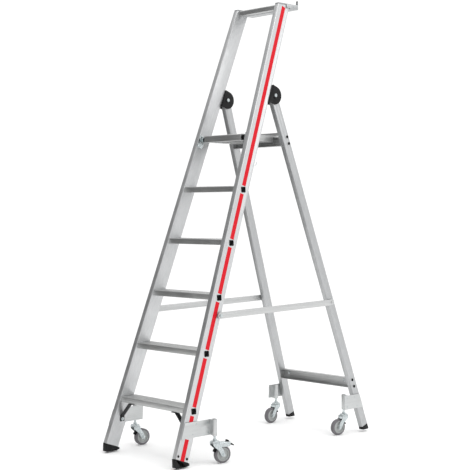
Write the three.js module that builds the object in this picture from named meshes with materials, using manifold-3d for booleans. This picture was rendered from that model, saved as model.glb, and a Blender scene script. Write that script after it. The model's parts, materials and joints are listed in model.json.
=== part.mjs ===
// Rolling warehouse ladder: an aluminium step ladder with a platform, guard rails and a tool tray,
// a folding rear frame, two side stays and four spring-mounted swivel castors.
// Millimetres. X points right for a person facing the treads, Y points to the rear, Z points up.
// The origin is on the floor, midway between the stiles, where their front edges meet the floor.
import * as THREE from "three";
import Module from "manifold-3d";

const wasm = await Module();
wasm.setup();
const { Manifold, Mesh: SolidMesh } = wasm;
const rad = THREE.MathUtils.degToRad;

// ---------------------------------------------------------------- clearances
const gap = 0.4; // between pieces that touch
const runningGap = 0.5; // between pieces that turn or slide on each other
const over = 1; // how far a cutting tool passes through

// ---------------------------------------------------------------- front frame
const frontAngle = 70.1; // slope of the stiles from the floor, degrees
const frontHalfWidth = 248; // outer half width of the front frame at the floor
const frontTaper = 0.0494; // how much the half width falls per millimetre of height
const stileDepth = 70;
const stileThickness = 24;
const stileWall = 2.2;
const stileLip = 7; // raised lips along the edges of the outer face
const stileRecess = 1.2;
const stileTop = 2032; // height of the stile tops
const footLift = 5; // how far the front feet stand clear of the floor while the castors carry the ladder

const treadCount = 5;
const firstTread = 247; // top of the first tread
const treadRise = 235; // from one tread top to the next
const treadDepth = 80;
const treadHeight = 26;
const treadWall = 2.4;
const treadNose = 3; // how far a tread starts behind the stiles' front edge
const treadChamfer = 3; // along the front upper edge
const treadGroovePitch = 8;
const treadGrooveDepth = 1.2;
const treadGrooveWidth = 3;

const shoeHeight = 40; // front height of a front shoe
const shoeWall = 3;
const shoeNose = 2; // how far the shoe stands in front of the stile's edge
const shoeLength = 76;
const shoeFrontBevel = [6, 3]; // of the sole's front edge, length and height
const shoeRearBevel = [15, 3];
const shoePocket = 2; // depth of the pockets in the shoe's side faces
const shoeRim = 5; // round the pockets
const capHeight = 6; // plastic end caps of the stiles

// ---------------------------------------------------------------- rear frame
const rearSpread = 1238; // Y of the rear legs' centre line at the floor
const rearOverhang = 10.6; // at the floor, how far each rear leg stands outside the stile's line
const rearHalfWidth = frontHalfWidth + rearOverhang;
const legDepth = 41;
const legThickness = 24;
const legWall = 2;
const legLift = 10; // how far the rear feet stand clear of the floor
const legCapHeight = 16;
const legHead = 61.5; // solid upper end of a leg, measured down from the pivot

const hingeHeight = 1603;
const hingeSetback = 27; // from the stile's rear edge to the pivot, square to the stile
const hingePlate = 4;
const hingeCheek = 41; // radius of the cheeks
const hingeCheekSides = 56; // facets round a cheek
const hingeWeb = 4;
const hingePinRadius = 5;
const hingeHeadRadius = 9;
const hingeHeadHeight = 5;

const lowerBarTop = 269;
const lowerBarHeight = 48;
const upperBarHeight = 42;
const barDepth = 26;
const barWall = 3;

// ---------------------------------------------------------------- platform
const platformTop = 1424;
const platformHeight = 30;
const platformHalfWidth = 121;
const platformSeat = 7.5; // thickness of the deck where it rests on the upper crossbar
const platformChambers = 4; // hollows in the deck's underside, with ribs between them
const barSwingRoom = 10; // in front of the upper crossbar, which swings forward as the ladder folds
const platformSkin = 3;
const platformUpstand = 15; // rear edge above the deck
const platformPivotSetback = 16; // pivot rod behind the stiles' front edge
const platformPivotDrop = 17; // pivot rod below the deck's top
const platformRodRadius = 6;
const platformCollarRadius = 9.6; // collars that centre the deck on the rod
const platformPlateHeight = 56;
const platformPlateBelow = 39; // how far the plate reaches below the rod
const platformPlateDepth = 34;
const platformPlate = 3;

// ---------------------------------------------------------------- top bar and tool tray
const topBarHeight = 23;
const topBarDepth = 30;
const topBarChamfer = 4;
const topBarDrop = 2; // top bar below the stile tops
const trayDepth = 52;
const trayHeight = 22;
const trayHook = 12; // width of the hooks at the rear corners
const trayHookHeight = 20; // above the walls
const trayWall = 2.5;
const trayWing = 26; // how far the side walls run forward along the stiles
const trayDrop = 16; // tray floor below the stile tops

// ---------------------------------------------------------------- side stays
const stayFrontHeight = 624;
const stayRearHeight = 641;
const stayBoltSetback = 12; // bolt in front of the stile's rear edge, square to the stile
const stayWidth = 28;
const stayThickness = 5;
const stayBoltRadius = 4;
const stayHeadRadius = 8;
const stayHeadHeight = 5;

// ---------------------------------------------------------------- braces under the first tread
const braceThickness = 3;
const braceWidth = 22;
const braceTab = 24;
const braceSetback = 42; // brace's centre line behind the stile's front edge, at the lower bend
const braceReach = 55; // along the tread, from the stile
const braceDrop = 60; // down the stile, from the tread

// ---------------------------------------------------------------- castors
const frontStemX = frontHalfWidth + 19.5; // outside the stiles
const frontStemY = 216;
const rearStemX = rearHalfWidth - 32.6; // inside the legs
const rearStemY = 1105;
const wheelRadius = 37.5;
const wheelWidth = 22;
const wheelSides = 40; // facets round a wheel
const tyreThickness = 9;
const tyreShoulder = 4; // width of the slope at the tread's edges
const tyreCrown = 8; // from the side face in to where the tread runs level
const hubWidth = 25;
const hubBoss = 9; // radius of the hub's boss
const hubDish = 4; // web set in from the rim's side face
const hubRim = 3;
const axleRadius = 4;
const trail = 36; // from the swivel axis to the wheel's axle
const forkGap = 1.2; // between hub and fork, each side
const forkPlate = 2.5;
const crownRadius = 20;
const crownRoom = 12; // between the tyre and the fork's crown
const crownHeight = wheelRadius * 2 + crownRoom;
const crownPlate = 4;
const forkHalfWidth = 14; // fork's side plates at the crown, in front of and behind the swivel axis
const forkFlare = 6; // extra width of a side plate behind the swivel axis
const forkFrontDrop = 8; // straight front edge of a side plate, below the crown
const forkBackDrop = 18;
const forkEar = 10; // radius of a side plate's round end at the axle
const axleHeadRadius = 6.8;
const axleHeadHeight = 4;
const raceHeight = 6;
const raceChamfer = [4, 2]; // inwards and downwards
const stemNutRadius = 9;
const stemNutHeight = 8;
const stemRadius = 5.5;
const stemCollarRadius = 7.6;
const stemCollarHeight = 4;
const stemShow = 33; // from the crown's underside up to the spring tube
const tubeLength = 70;
const tubeBottom = crownHeight + stemShow;
const tubeTop = tubeBottom + tubeLength;
const tubeRadius = 10.5;
const tubeBore = 8.1;
const tubeCap = 4;
const springRadius = 6.2;
const springWire = 0.9;
const springTurns = 7;
const springSteps = 8; // straight stretches in a turn of the spring
const springSeatHeight = 17; // the stem's collar above the tube's lower end
const bracketPlate = 4;
const bracketMargin = 2; // plate's ends in from the tube's ends
const bracketOverhang = 25; // plate beyond the tube's axis
const bracketRib = 17; // width of the rib between plate and tube
// Degrees from straight back to where each castor trails, anticlockwise from above.
const swivels = { front_right: -14, front_left: -8, rear_right: 170, rear_left: 178 };
const hoodReach = wheelRadius - 11.5; // from the wheel's axle back to the pedal's pin
const hoodMargin = 7; // of the hood's cheeks behind the pin
const hoodRoofSetback = 9; // from the pin forward to the end of the hood's roof
const hoodFrontDrop = 14; // cheeks below the crown, at the front
const hoodBackDrop = 18;
const hoodCorner = 8; // cut off the cheeks' lower back corners
const pedalPinRadius = 2.5;
const pedalPinDrop = 4; // pin below the crown
const pedalHubRadius = 6.5;
const pedalLength = 26;
const pedalThickness = 5;
const pedalDip = 14; // toe end below the pin
const heelHeight = 14; // above the pin
const heelDepth = 8; // at its foot, narrowing by a quarter

// ---------------------------------------------------------------- materials
function finish(color, roughness, metalness) {
  return () => new THREE.MeshStandardMaterial({ color, roughness, metalness });
}
const aluminium = finish("#c9c9ca", 0.42, 0.85);
const sheet = finish("#bdbfbf", 0.4, 0.8);
const zinc = finish("#c4c9c8", 0.3, 0.9);
const blackPlastic = finish("#1c1c1e", 0.55, 0);
const blackSteel = finish("#26262a", 0.45, 0.4);
const greyPlastic = finish("#b4b6b5", 0.5, 0);
const greyRubber = finish("#6e6c6e", 0.8, 0);

// ---------------------------------------------------------------- solids
function solid(geometry) {
  const flat = geometry.index ? geometry.toNonIndexed() : geometry;
  const found = new Map();
  const points = [];
  const triangles = [];
  const position = flat.getAttribute("position");
  for (let i = 0; i < position.count; i += 1) {
    const point = [position.getX(i), position.getY(i), position.getZ(i)];
    const key = point.map((value) => Math.round(value * 1e4)).join(",");
    if (!found.has(key)) {
      found.set(key, points.length / 3);
      points.push(...point);
    }
    triangles.push(found.get(key));
  }
  const kept = [];
  for (let i = 0; i < triangles.length; i += 3) {
    const [a, b, c] = triangles.slice(i, i + 3);
    if (a !== b && b !== c && c !== a) kept.push(a, b, c);
  }
  const mesh = { numProp: 3, vertProperties: new Float32Array(points), triVerts: new Uint32Array(kept) };
  return new Manifold(new SolidMesh(mesh));
}

function geometryOf(body) {
  const data = body.getMesh();
  const position = new Float32Array(data.numVert * 3);
  for (let i = 0; i < data.numVert; i += 1) {
    position.set(data.vertProperties.subarray(i * data.numProp, i * data.numProp + 3), i * 3);
  }
  const indexed = new THREE.BufferGeometry();
  indexed.setAttribute("position", new THREE.BufferAttribute(position, 3));
  indexed.setIndex(new THREE.BufferAttribute(data.triVerts, 1));
  const geometry = indexed.toNonIndexed();
  geometry.computeVertexNormals();
  return geometry;
}

function piece(name, body, material, parent = ladder) {
  const mesh = new THREE.Mesh(geometryOf(body), material());
  mesh.name = name;
  parent.add(mesh);
  return mesh;
}

// A box given by its lowest and highest corners.
function block(low, high) {
  const size = high.map((value, i) => value - low[i]);
  const middle = high.map((value, i) => (value + low[i]) / 2);
  return solid(new THREE.BoxGeometry(...size)).translate(middle);
}

// A round bar along X, from x0 to x1, about the line y, z.
function barX(x0, x1, y, z, radius, sides = 32) {
  const geometry = new THREE.CylinderGeometry(radius, radius, Math.abs(x1 - x0), sides);
  geometry.rotateZ(Math.PI / 2);
  return solid(geometry).translate([(x0 + x1) / 2, y, z]);
}

// A round bar along Z, from z0 to z1.
function barZ(z0, z1, x, y, radius, sides = 32) {
  const geometry = new THREE.CylinderGeometry(radius, radius, z1 - z0, sides);
  geometry.rotateX(Math.PI / 2);
  return solid(geometry).translate([x, y, (z0 + z1) / 2]);
}

// An outline of [y, z] points drawn along X, from x0 to x1, with hollows of [low, high] corners.
function profileX(points, x0, x1, hollows = []) {
  const shape = new THREE.Shape(points.map(([y, z]) => new THREE.Vector2(y, z)));
  const geometry = new THREE.ExtrudeGeometry(shape, { depth: x1 - x0, bevelEnabled: false });
  // extrusion runs along Z: turn Z to X, X to Y and Y to Z
  geometry.applyMatrix4(new THREE.Matrix4().set(0, 0, 1, 0, 1, 0, 0, 0, 0, 1, 0, 0, 0, 0, 0, 1));
  const bar = solid(geometry).translate([x0, 0, 0]);
  return hollows.reduce(
    (body, [low, high]) => body.subtract(block([x0 - over, ...low], [x1 + over, ...high])), bar);
}

function rectangle(low, high) {
  return [[low[0], low[1]], [high[0], low[1]], [high[0], high[1]], [low[0], high[1]]];
}

// A solid turned about the Z axis, from a closed outline of [radius, z] points.
function turned(points, sides = 40) {
  const closed = [...points, points[0]].map(([r, z]) => new THREE.Vector2(r, z));
  const geometry = new THREE.LatheGeometry(closed, sides);
  geometry.rotateX(Math.PI / 2);
  const body = solid(geometry);
  return body.volume() < 0 ? solid(flipped(geometry)) : body;
}

function flipped(geometry) {
  const copy = geometry.clone();
  const index = copy.index.array;
  for (let i = 0; i < index.length; i += 3) [index[i], index[i + 1]] = [index[i + 1], index[i]];
  return copy;
}

const unite = (...bodies) => bodies.reduce((all, body) => all.add(body));

// ---------------------------------------------------------------- lines of the frame
const slope = rad(frontAngle);
const frontY = (z) => z / Math.tan(slope); // front edge of the stiles
const frontOuter = (z) => frontHalfWidth - frontTaper * z;
const frontInner = (z) => frontOuter(z) - stileThickness;
const stileRun = stileDepth / Math.sin(slope); // stile depth measured level
const hingeY = frontY(hingeHeight) + stileRun + hingeSetback / Math.sin(slope);
const legSlope = Math.atan2(hingeHeight, rearSpread - hingeY);
const legY = (z) => rearSpread - z / Math.tan(legSlope); // centre line of the rear legs
const legRun = legDepth / Math.sin(legSlope);
const rearTaper = (rearHalfWidth - frontOuter(hingeHeight)) / hingeHeight;
const rearOuter = (z) => rearHalfWidth - rearTaper * z;
const rearInner = (z) => rearOuter(z) - legThickness;

const ladder = new THREE.Group();

// A group whose Z axis runs up a stile or leg, with the face's outer front edge on its Z axis.
// `lean` is how far the front edge moves in Y per millimetre of height.
function sloped(side, halfWidth, taper, startY, lean) {
  const group = new THREE.Group();
  const up = new THREE.Vector3(-side * taper, lean, 1).normalize();
  const across = new THREE.Vector3(1, 0, side * taper).normalize();
  const square = new THREE.Vector3().crossVectors(up, across);
  group.quaternion.setFromRotationMatrix(new THREE.Matrix4().makeBasis(across, square, up));
  group.position.set(side * halfWidth, startY, 0);
  group.updateMatrixWorld(true);
  return group;
}

// Keeps what is above (or, with sign -1, below) a level plane at height z, in the group's own frame.
function levelCut(body, group, z, sign = 1) {
  const turn = group.quaternion.clone().invert();
  const normal = new THREE.Vector3(0, 0, sign).applyQuaternion(turn);
  const point = group.worldToLocal(new THREE.Vector3(0, 0, z));
  return body.trimByPlane(normal.toArray(), normal.dot(point));
}

const toLocal = (body, group) => body.transform(group.matrixWorld.clone().invert().elements);

function frontSide(side) {
  return sloped(side, frontHalfWidth, frontTaper, 0, 1 / Math.tan(slope));
}

function rearSide(side) {
  const startY = rearSpread - legRun / 2;
  return sloped(side, rearHalfWidth, rearTaper, startY, -1 / Math.tan(legSlope));
}

// Half-space cuts that end a crosswise piece at the inner faces of the two sides.
function betweenSides(body, inner, taper, clearance) {
  const tilt = Math.hypot(1, taper);
  const offset = (-inner(0) + clearance) / tilt;
  const right = body.trimByPlane([-1 / tilt, 0, -taper / tilt], offset);
  return right.trimByPlane([1 / tilt, 0, -taper / tilt], offset);
}

// ---------------------------------------------------------------- stiles
const shoeCut = footLift + shoeHeight; // where the shoe's upper edge meets the stile's front edge
const stileLength = (stileTop + stileRun) / Math.sin(slope);

function stileProfile(side) {
  const inward = -side * stileThickness;
  const step = -side * stileRecess;
  const outline = [
    [0, 0], [0, stileLip], [step, stileLip + 1], [step, stileDepth - stileLip - 1],
    [0, stileDepth - stileLip], [0, stileDepth], [inward, stileDepth], [inward, 0],
  ];
  const shape = new THREE.Shape(outline.map(([x, y]) => new THREE.Vector2(x, y)));
  const near = -side * (stileWall + stileRecess);
  const far = -side * (stileThickness - stileWall);
  const hollow = rectangle([near, stileWall], [far, stileDepth - stileWall]);
  shape.holes.push(new THREE.Path(hollow.map(([x, y]) => new THREE.Vector2(x, y))));
  return shape;
}

// The stile's lower end is cut square, where its front edge is at the shoe's upper edge.
const stileStart = shoeCut / Math.sin(slope);

function makeStile(name, side) {
  const group = frontSide(side);
  const geometry = new THREE.ExtrudeGeometry(stileProfile(side), { depth: stileLength, bevelEnabled: false });
  const bar = solid(geometry).translate([0, 0, stileStart]);
  piece("stile_" + name, levelCut(bar, group, stileTop, -1), aluminium, group);
  ladder.add(group);
}

// Plastic cap that closes the top of a stile.
function makeStileCap(name, side) {
  const inward = side > 0 ? [-stileThickness, 0] : [0, stileThickness];
  const group = frontSide(side);
  const tall = stileLength + capHeight * 2;
  const body = block([inward[0], 0, 0], [inward[1], stileDepth, tall]);
  const upper = levelCut(body, group, stileTop + gap);
  piece("stile_cap_" + name, levelCut(upper, group, stileTop + gap + capHeight, -1), greyPlastic, group);
  ladder.add(group);
}

// Wedge-shaped shoe under a stile: a plug in the stile, a collar and a flat sole with a toe.
function makeShoe(name, side) {
  const group = frontSide(side);
  const low = side > 0 ? -stileThickness : 0;
  const high = low + stileThickness;
  const far = shoeHeight * 4;
  const plugLow = low + stileWall + stileRecess + gap;
  const plugHigh = high - stileWall - stileRecess - gap;
  const plugEdge = stileWall + gap;
  const plug = block(
    [plugLow, plugEdge, stileStart - shoeWall], [plugHigh, stileDepth - plugEdge, stileStart + shoeHeight]);
  const heel = frontY(shoeCut) - shoeNose;
  const toe = heel + shoeLength;
  const outline = [
    [heel, footLift + shoeFrontBevel[1]], [heel + shoeFrontBevel[0], footLift],
    [toe - shoeRearBevel[0], footLift], [toe, footLift + shoeRearBevel[1]], [toe, far], [heel, far],
  ];
  const across = (section) => toLocal(profileX(section, -far * 2, far * 2), group);
  const wedge = block([low, -far, -far], [high, far, stileStart - gap]).intersect(across(outline));
  const pocketFloor = footLift + shoeRim;
  const pocketTop = (y) => shoeCut - (y - frontY(shoeCut)) / Math.tan(slope) - shoeRim;
  const pocket = (from, to) =>
    across([[from, pocketFloor], [to, pocketFloor], [to, pocketTop(to)], [from, pocketTop(from)]]);
  const rib = heel + shoeLength * 0.4;
  const pockets = pocket(heel + shoeRim, rib - shoeWall / 2).add(
    pocket(rib + shoeWall / 2, toe - shoeRim * 3));
  const core = block([low + shoePocket, -far, -far], [high - shoePocket, far, far]);
  piece("front_shoe_" + name, unite(wedge.subtract(pockets.subtract(core)), plug), blackPlastic, group);
  ladder.add(group);
}

// ---------------------------------------------------------------- treads
function grooves(count, start, top) {
  return Array.from({ length: count }, (_, i) => {
    const y = start + i * treadGroovePitch;
    const low = [-frontHalfWidth, y, top - treadGrooveDepth];
    return block(low, [frontHalfWidth, y + treadGrooveWidth, top + over]);
  });
}

function makeTread(number) {
  const top = firstTread + (number - 1) * treadRise;
  const front = frontY(top) + treadNose;
  const floor = top - treadHeight;
  const outline = [
    [front, floor], [front + treadDepth, floor], [front + treadDepth, top],
    [front + treadChamfer, top], [front, top - treadChamfer],
  ];
  const hollow = [
    [front + treadWall, floor + treadWall],
    [front + treadDepth - treadWall, top - treadWall - treadGrooveDepth],
  ];
  const bar = profileX(outline, -frontHalfWidth, frontHalfWidth, [hollow]);
  const count = Math.floor((treadDepth - treadGroovePitch) / treadGroovePitch);
  const cut = grooves(count, front + treadGroovePitch, top).reduce((body, tool) => body.subtract(tool), bar);
  piece("tread_" + number, betweenSides(cut, frontInner, frontTaper, gap), aluminium);
}

// ---------------------------------------------------------------- braces
// Strip from the underside of the first tread down to the inner face of a stile, in one upright plane.
function makeBrace(name, side) {
  const half = braceThickness / 2;
  const under = firstTread - treadHeight - gap - half;
  const bend = under - braceDrop;
  const end = bend - braceTab;
  const y = frontY(bend) + braceSetback;
  const faceX = (z) => side * (frontInner(z) - gap - half);
  const topX = faceX(under) - side * braceReach;
  const tip = (x, z) => block(
    [x - half, y - braceWidth / 2, z - half], [x + half, y + braceWidth / 2, z + half]);
  const upper = Manifold.hull([tip(topX, under), tip(topX - side * braceTab, under)]);
  const diagonal = Manifold.hull([tip(topX, under), tip(faceX(bend), bend)]);
  const lower = Manifold.hull([tip(faceX(bend), bend), tip(faceX(end), end)]);
  piece("tread_brace_" + name, unite(upper, diagonal, lower), blackSteel);
}

// ---------------------------------------------------------------- rear frame
function pivotHole(x0, x1) {
  return barX(x0, x1, hingeY, hingeHeight, hingePinRadius + runningGap);
}

function makeLeg(name, side) {
  const group = rearSide(side);
  const low = side > 0 ? -legThickness : 0;
  const high = low + legThickness;
  const pivot = group.worldToLocal(new THREE.Vector3(side * rearOuter(hingeHeight), hingeY, hingeHeight));
  const bar = block([low, 0, 0], [high, legDepth, pivot.z]);
  const round = barX(low, high, legDepth / 2, pivot.z, legDepth / 2, 48);
  const hollow = block(
    [low + legWall, legWall, -over],
    [high - legWall, legDepth - legWall, pivot.z - legHead]);
  const cut = legCapHeight + legLift;
  const local = unite(bar, round).subtract(hollow).trimByPlane([0, 0, 1], cut);
  const hole = pivotHole(side * (rearInner(hingeHeight) - stileThickness), side * rearHalfWidth);
  piece("rear_leg_" + name, local.subtract(toLocal(hole, group)), aluminium, group);
  ladder.add(group);
}

// Rounded plastic cap and plug on the end of a rear leg.
function makeLegCap(name, side) {
  const group = rearSide(side);
  const low = side > 0 ? -legThickness : 0;
  const high = low + legThickness;
  const start = legCapHeight + legLift;
  const sole = levelCut(block([low, 0, 0], [high, legDepth, start - gap]), group, legLift);
  const edge = legWall + gap;
  const plug = block([low + edge, edge, start - over], [high - edge, legDepth - edge, start + legDepth]);
  piece("rear_foot_" + name, unite(sole, plug), blackPlastic, group);
  ladder.add(group);
}

// Channel across the rear legs, open to the front.
function makeCrossbar(name, top, height) {
  const front = legY(top - height / 2) - legRun / 2 + barWall;
  const back = front + barDepth;
  const floor = top - height;
  const outline = [
    [front, floor], [back, floor], [back, top], [front, top],
    [front, top - barWall], [back - barWall, top - barWall],
    [back - barWall, floor + barWall], [front, floor + barWall],
  ];
  const bar = profileX(outline, -rearHalfWidth, rearHalfWidth);
  piece("crossbar_" + name, betweenSides(bar, rearInner, rearTaper, gap), aluminium);
}

// ---------------------------------------------------------------- hinges between the frames
// How far a leg's faces stray in X over the height of the cheeks.
const legStray = rearTaper * hingeCheek + runningGap;

// Bracket on a stile's rear edge: a web with two round cheeks that hold the leg between them.
function makeHinge(name, side) {
  const group = frontSide(side);
  const outerX = rearOuter(hingeHeight) + legStray;
  const innerX = rearInner(hingeHeight) - legStray;
  const webY = stileDepth + gap;
  const slice = (from, to) => {
    const low = [Math.min(side * from, side * to), 0, 0];
    return toLocal(block(low, [Math.max(side * from, side * to), hingeY * 2, hingeHeight * 2]), group);
  };
  const plate = (centre, back) => block(
    [-frontHalfWidth, webY, centre.z - hingeCheek], [frontHalfWidth, back, centre.z + hingeCheek]);
  const centreAt = (x) => group.worldToLocal(new THREE.Vector3(side * x, hingeY, hingeHeight));
  const cheek = (x) => {
    const disc = barX(side * x, side * (x + hingePlate), hingeY, hingeHeight, hingeCheek, hingeCheekSides);
    const centre = centreAt(x + hingePlate / 2);
    const slab = plate(centre, centre.y).intersect(slice(x, x + hingePlate));
    return toLocal(disc, group).trimByPlane([0, 1, 0], webY).add(slab);
  };
  const web = plate(centreAt((innerX + outerX) / 2), webY + hingeWeb);
  const span = slice(innerX - hingePlate, outerX + hingePlate);
  const hole = pivotHole(side * (innerX - hingePlate - over), side * (outerX + hingePlate + over));
  const body = unite(cheek(outerX), cheek(innerX - hingePlate), web.intersect(span));
  piece("hinge_bracket_" + name, body.subtract(toLocal(hole, group)), blackPlastic, group);
  ladder.add(group);
  makeHingePin(name, side, innerX - hingePlate - gap, outerX + hingePlate + gap);
}

function makeHingePin(name, side, inner, outer) {
  const shank = barX(side * (inner - over), side * (outer + over), hingeY, hingeHeight, hingePinRadius);
  const head = barX(side * outer, side * (outer + hingeHeadHeight), hingeY, hingeHeight, hingeHeadRadius, 6);
  const nut = barX(side * (inner - hingeHeadHeight), side * inner, hingeY, hingeHeight, hingeHeadRadius, 6);
  piece("hinge_pin_" + name, unite(shank, head, nut), zinc);
}

// ---------------------------------------------------------------- platform
const pivotY = frontY(platformTop) + platformPivotSetback;
const pivotZ = platformTop - platformPivotDrop;
const upperBarTop = platformTop - platformSeat - gap;
const upperBarFront = legY(upperBarTop - upperBarHeight / 2) - legRun / 2 + barWall;

function makePlatform() {
  const front = frontY(platformTop);
  const back = upperBarFront + barDepth + platformSkin + gap;
  const floor = platformTop - platformHeight;
  const seat = upperBarTop + gap;
  const bearing = upperBarFront - barSwingRoom;
  const outline = [
    [front, floor], [bearing, floor], [bearing, seat], [back, seat],
    [back, platformTop + platformUpstand], [back - platformSkin, platformTop + platformUpstand],
    [back - platformSkin, platformTop], [front + treadChamfer, platformTop],
    [front, platformTop - treadChamfer],
  ];
  const first = pivotY + platformRodRadius + platformSkin * 2;
  const room = (bearing - platformSkin - first) / platformChambers;
  const side = platformHalfWidth - platformSkin;
  const ceiling = platformTop - platformSkin - treadGrooveDepth;
  const hollows = Array.from({ length: platformChambers }, (_, i) => block(
    [-side, first + i * room, floor - over], [side, first + (i + 1) * room - platformSkin, ceiling]));
  const deck = profileX(outline, -platformHalfWidth, platformHalfWidth);
  const count = Math.floor((back - front - treadGroovePitch * 2) / (treadGroovePitch * 2));
  const grooveTools = Array.from({ length: count }, (_, i) => {
    const y = front + treadGroovePitch + i * treadGroovePitch * 2;
    const low = [-platformHalfWidth - over, y, platformTop - treadGrooveDepth];
    return block(low, [platformHalfWidth + over, y + treadGrooveWidth, platformTop + over]);
  });
  const ribbed = [...grooveTools, ...hollows].reduce((body, tool) => body.subtract(tool), deck);
  const reach = platformHalfWidth + over;
  const bore = barX(-reach, reach, pivotY, pivotZ, platformRodRadius + gap);
  piece("platform_deck", ribbed.subtract(bore), aluminium);
}

// Rod that the platform turns on; its ends sit in the plates on the stiles.
function makePlatformRod() {
  const rodReach = frontInner(pivotZ + platformRodRadius) - gap * 2;
  const collarReach = frontInner(pivotZ + platformCollarRadius) - platformPlate - gap * 3;
  const rod = barX(-rodReach, rodReach, pivotY, pivotZ, platformRodRadius);
  const collar = (side) => barX(
    side * (platformHalfWidth + runningGap), side * collarReach, pivotY, pivotZ, platformCollarRadius);
  piece("platform_rod", unite(rod, collar(1), collar(-1)), zinc);
}

// Plate on a stile's inner face that carries the end of the rod.
function makePlatformPlate(name, side) {
  const group = frontSide(side);
  const inner = -side * (stileThickness + gap);
  const deep = inner - side * platformPlate;
  const pivot = group.worldToLocal(new THREE.Vector3(side * frontInner(pivotZ), pivotY, pivotZ));
  const low = pivot.z - platformPlateBelow;
  const body = block(
    [Math.min(inner, deep), gap, low],
    [Math.max(inner, deep), platformPlateDepth, low + platformPlateHeight]);
  const hole = barX(-frontHalfWidth, frontHalfWidth, pivotY, pivotZ, platformRodRadius + gap);
  piece("platform_plate_" + name, body.subtract(toLocal(hole, group)), zinc, group);
  ladder.add(group);
}

// ---------------------------------------------------------------- top bar and tray
function makeTopBar() {
  const top = stileTop - topBarDrop;
  const front = frontY(top) + treadNose;
  const floor = top - topBarHeight;
  const outline = [
    [front, floor], [front + topBarDepth, floor], [front + topBarDepth, top],
    [front + topBarChamfer, top], [front, top - topBarChamfer],
  ];
  const hollow = [
    [front + treadWall, floor + treadWall], [front + topBarDepth - treadWall, top - treadWall * 2],
  ];
  const bar = profileX(outline, -frontHalfWidth, frontHalfWidth, [hollow]);
  piece("top_bar", betweenSides(bar, frontInner, frontTaper, gap), aluminium);
}

const trayFloor = stileTop - trayDrop;
const trayFront = frontY(trayFloor + trayHeight) + stileRun + gap;
const trayHalfWidth = frontOuter(trayFloor) + gap + trayWall;

function makeTray() {
  const back = trayFront + trayDepth;
  const top = trayFloor + trayHeight;
  const shell = block([-trayHalfWidth, trayFront, trayFloor], [trayHalfWidth, back, top]);
  const room = block(
    [-trayHalfWidth + trayWall, trayFront + trayWall, trayFloor + trayWall],
    [trayHalfWidth - trayWall, back - trayWall, top + over]);
  const hook = (side) => {
    const inner = side * (trayHalfWidth - trayHook);
    const outer = side * trayHalfWidth;
    return block(
      [Math.min(inner, outer), back - trayWall, top - over],
      [Math.max(inner, outer), back, top + trayHookHeight]);
  };
  const wing = (side) => {
    const inner = side * (trayHalfWidth - trayWall);
    const outer = side * trayHalfWidth;
    return block(
      [Math.min(inner, outer), trayFront - trayWing, trayFloor + trayWall],
      [Math.max(inner, outer), trayFront + over, top - trayWall]);
  };
  piece("tool_tray", unite(shell.subtract(room), hook(1), hook(-1), wing(1), wing(-1)), sheet);
}

// ---------------------------------------------------------------- side stays
const stayBoltY = frontY(stayFrontHeight) + stileRun - stayBoltSetback / Math.sin(slope);
const stayEndY = legY(stayRearHeight);
const stayInner = rearOuter(stayRearHeight - stayWidth) + runningGap + 1;

function makeStay(name, side) {
  const from = Math.min(side * stayInner, side * (stayInner + stayThickness));
  const disc = (y, z) => barX(from, from + stayThickness, y, z, stayWidth / 2, 40);
  const bar = Manifold.hull([disc(stayBoltY, stayFrontHeight), disc(stayEndY, stayRearHeight)]);
  const hole = barX(
    from - over, from + stayThickness + over, stayBoltY, stayFrontHeight, stayBoltRadius + runningGap);
  const outer = stayInner + stayThickness;
  const latch = barX(
    side * (outer - over), side * (outer + stayHeadHeight), stayEndY, stayRearHeight, stayHeadRadius, 24);
  piece("side_stay_" + name, bar.subtract(hole).add(latch), aluminium);
}

// Shoulder bolt that a stay turns on, with a bush that holds the stay off the stile.
function makeStayBolt(name, side) {
  const face = frontOuter(stayFrontHeight - stayWidth / 2) + gap;
  const outer = stayInner + stayThickness + runningGap;
  const bush = barX(side * face, side * (stayInner - runningGap), stayBoltY, stayFrontHeight, stayHeadRadius);
  const shank = barX(side * (face + over), side * (outer + over), stayBoltY, stayFrontHeight, stayBoltRadius);
  const head = barX(
    side * outer, side * (outer + stayHeadHeight), stayBoltY, stayFrontHeight, stayHeadRadius, 6);
  piece("stay_bolt_" + name, unite(bush, shank, head), zinc);
}

// ---------------------------------------------------------------- castors
const hubHalf = hubWidth / 2;
const forkInner = hubHalf + forkGap;
const forkOuter = forkInner + forkPlate;
const raceBottom = crownHeight + crownPlate + runningGap;
const raceTop = raceBottom + raceHeight;
const stemTop = tubeBottom + springSeatHeight;
const springBottom = stemTop + stemCollarHeight + gap;
const springTop = tubeTop - tubeCap - gap;

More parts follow.
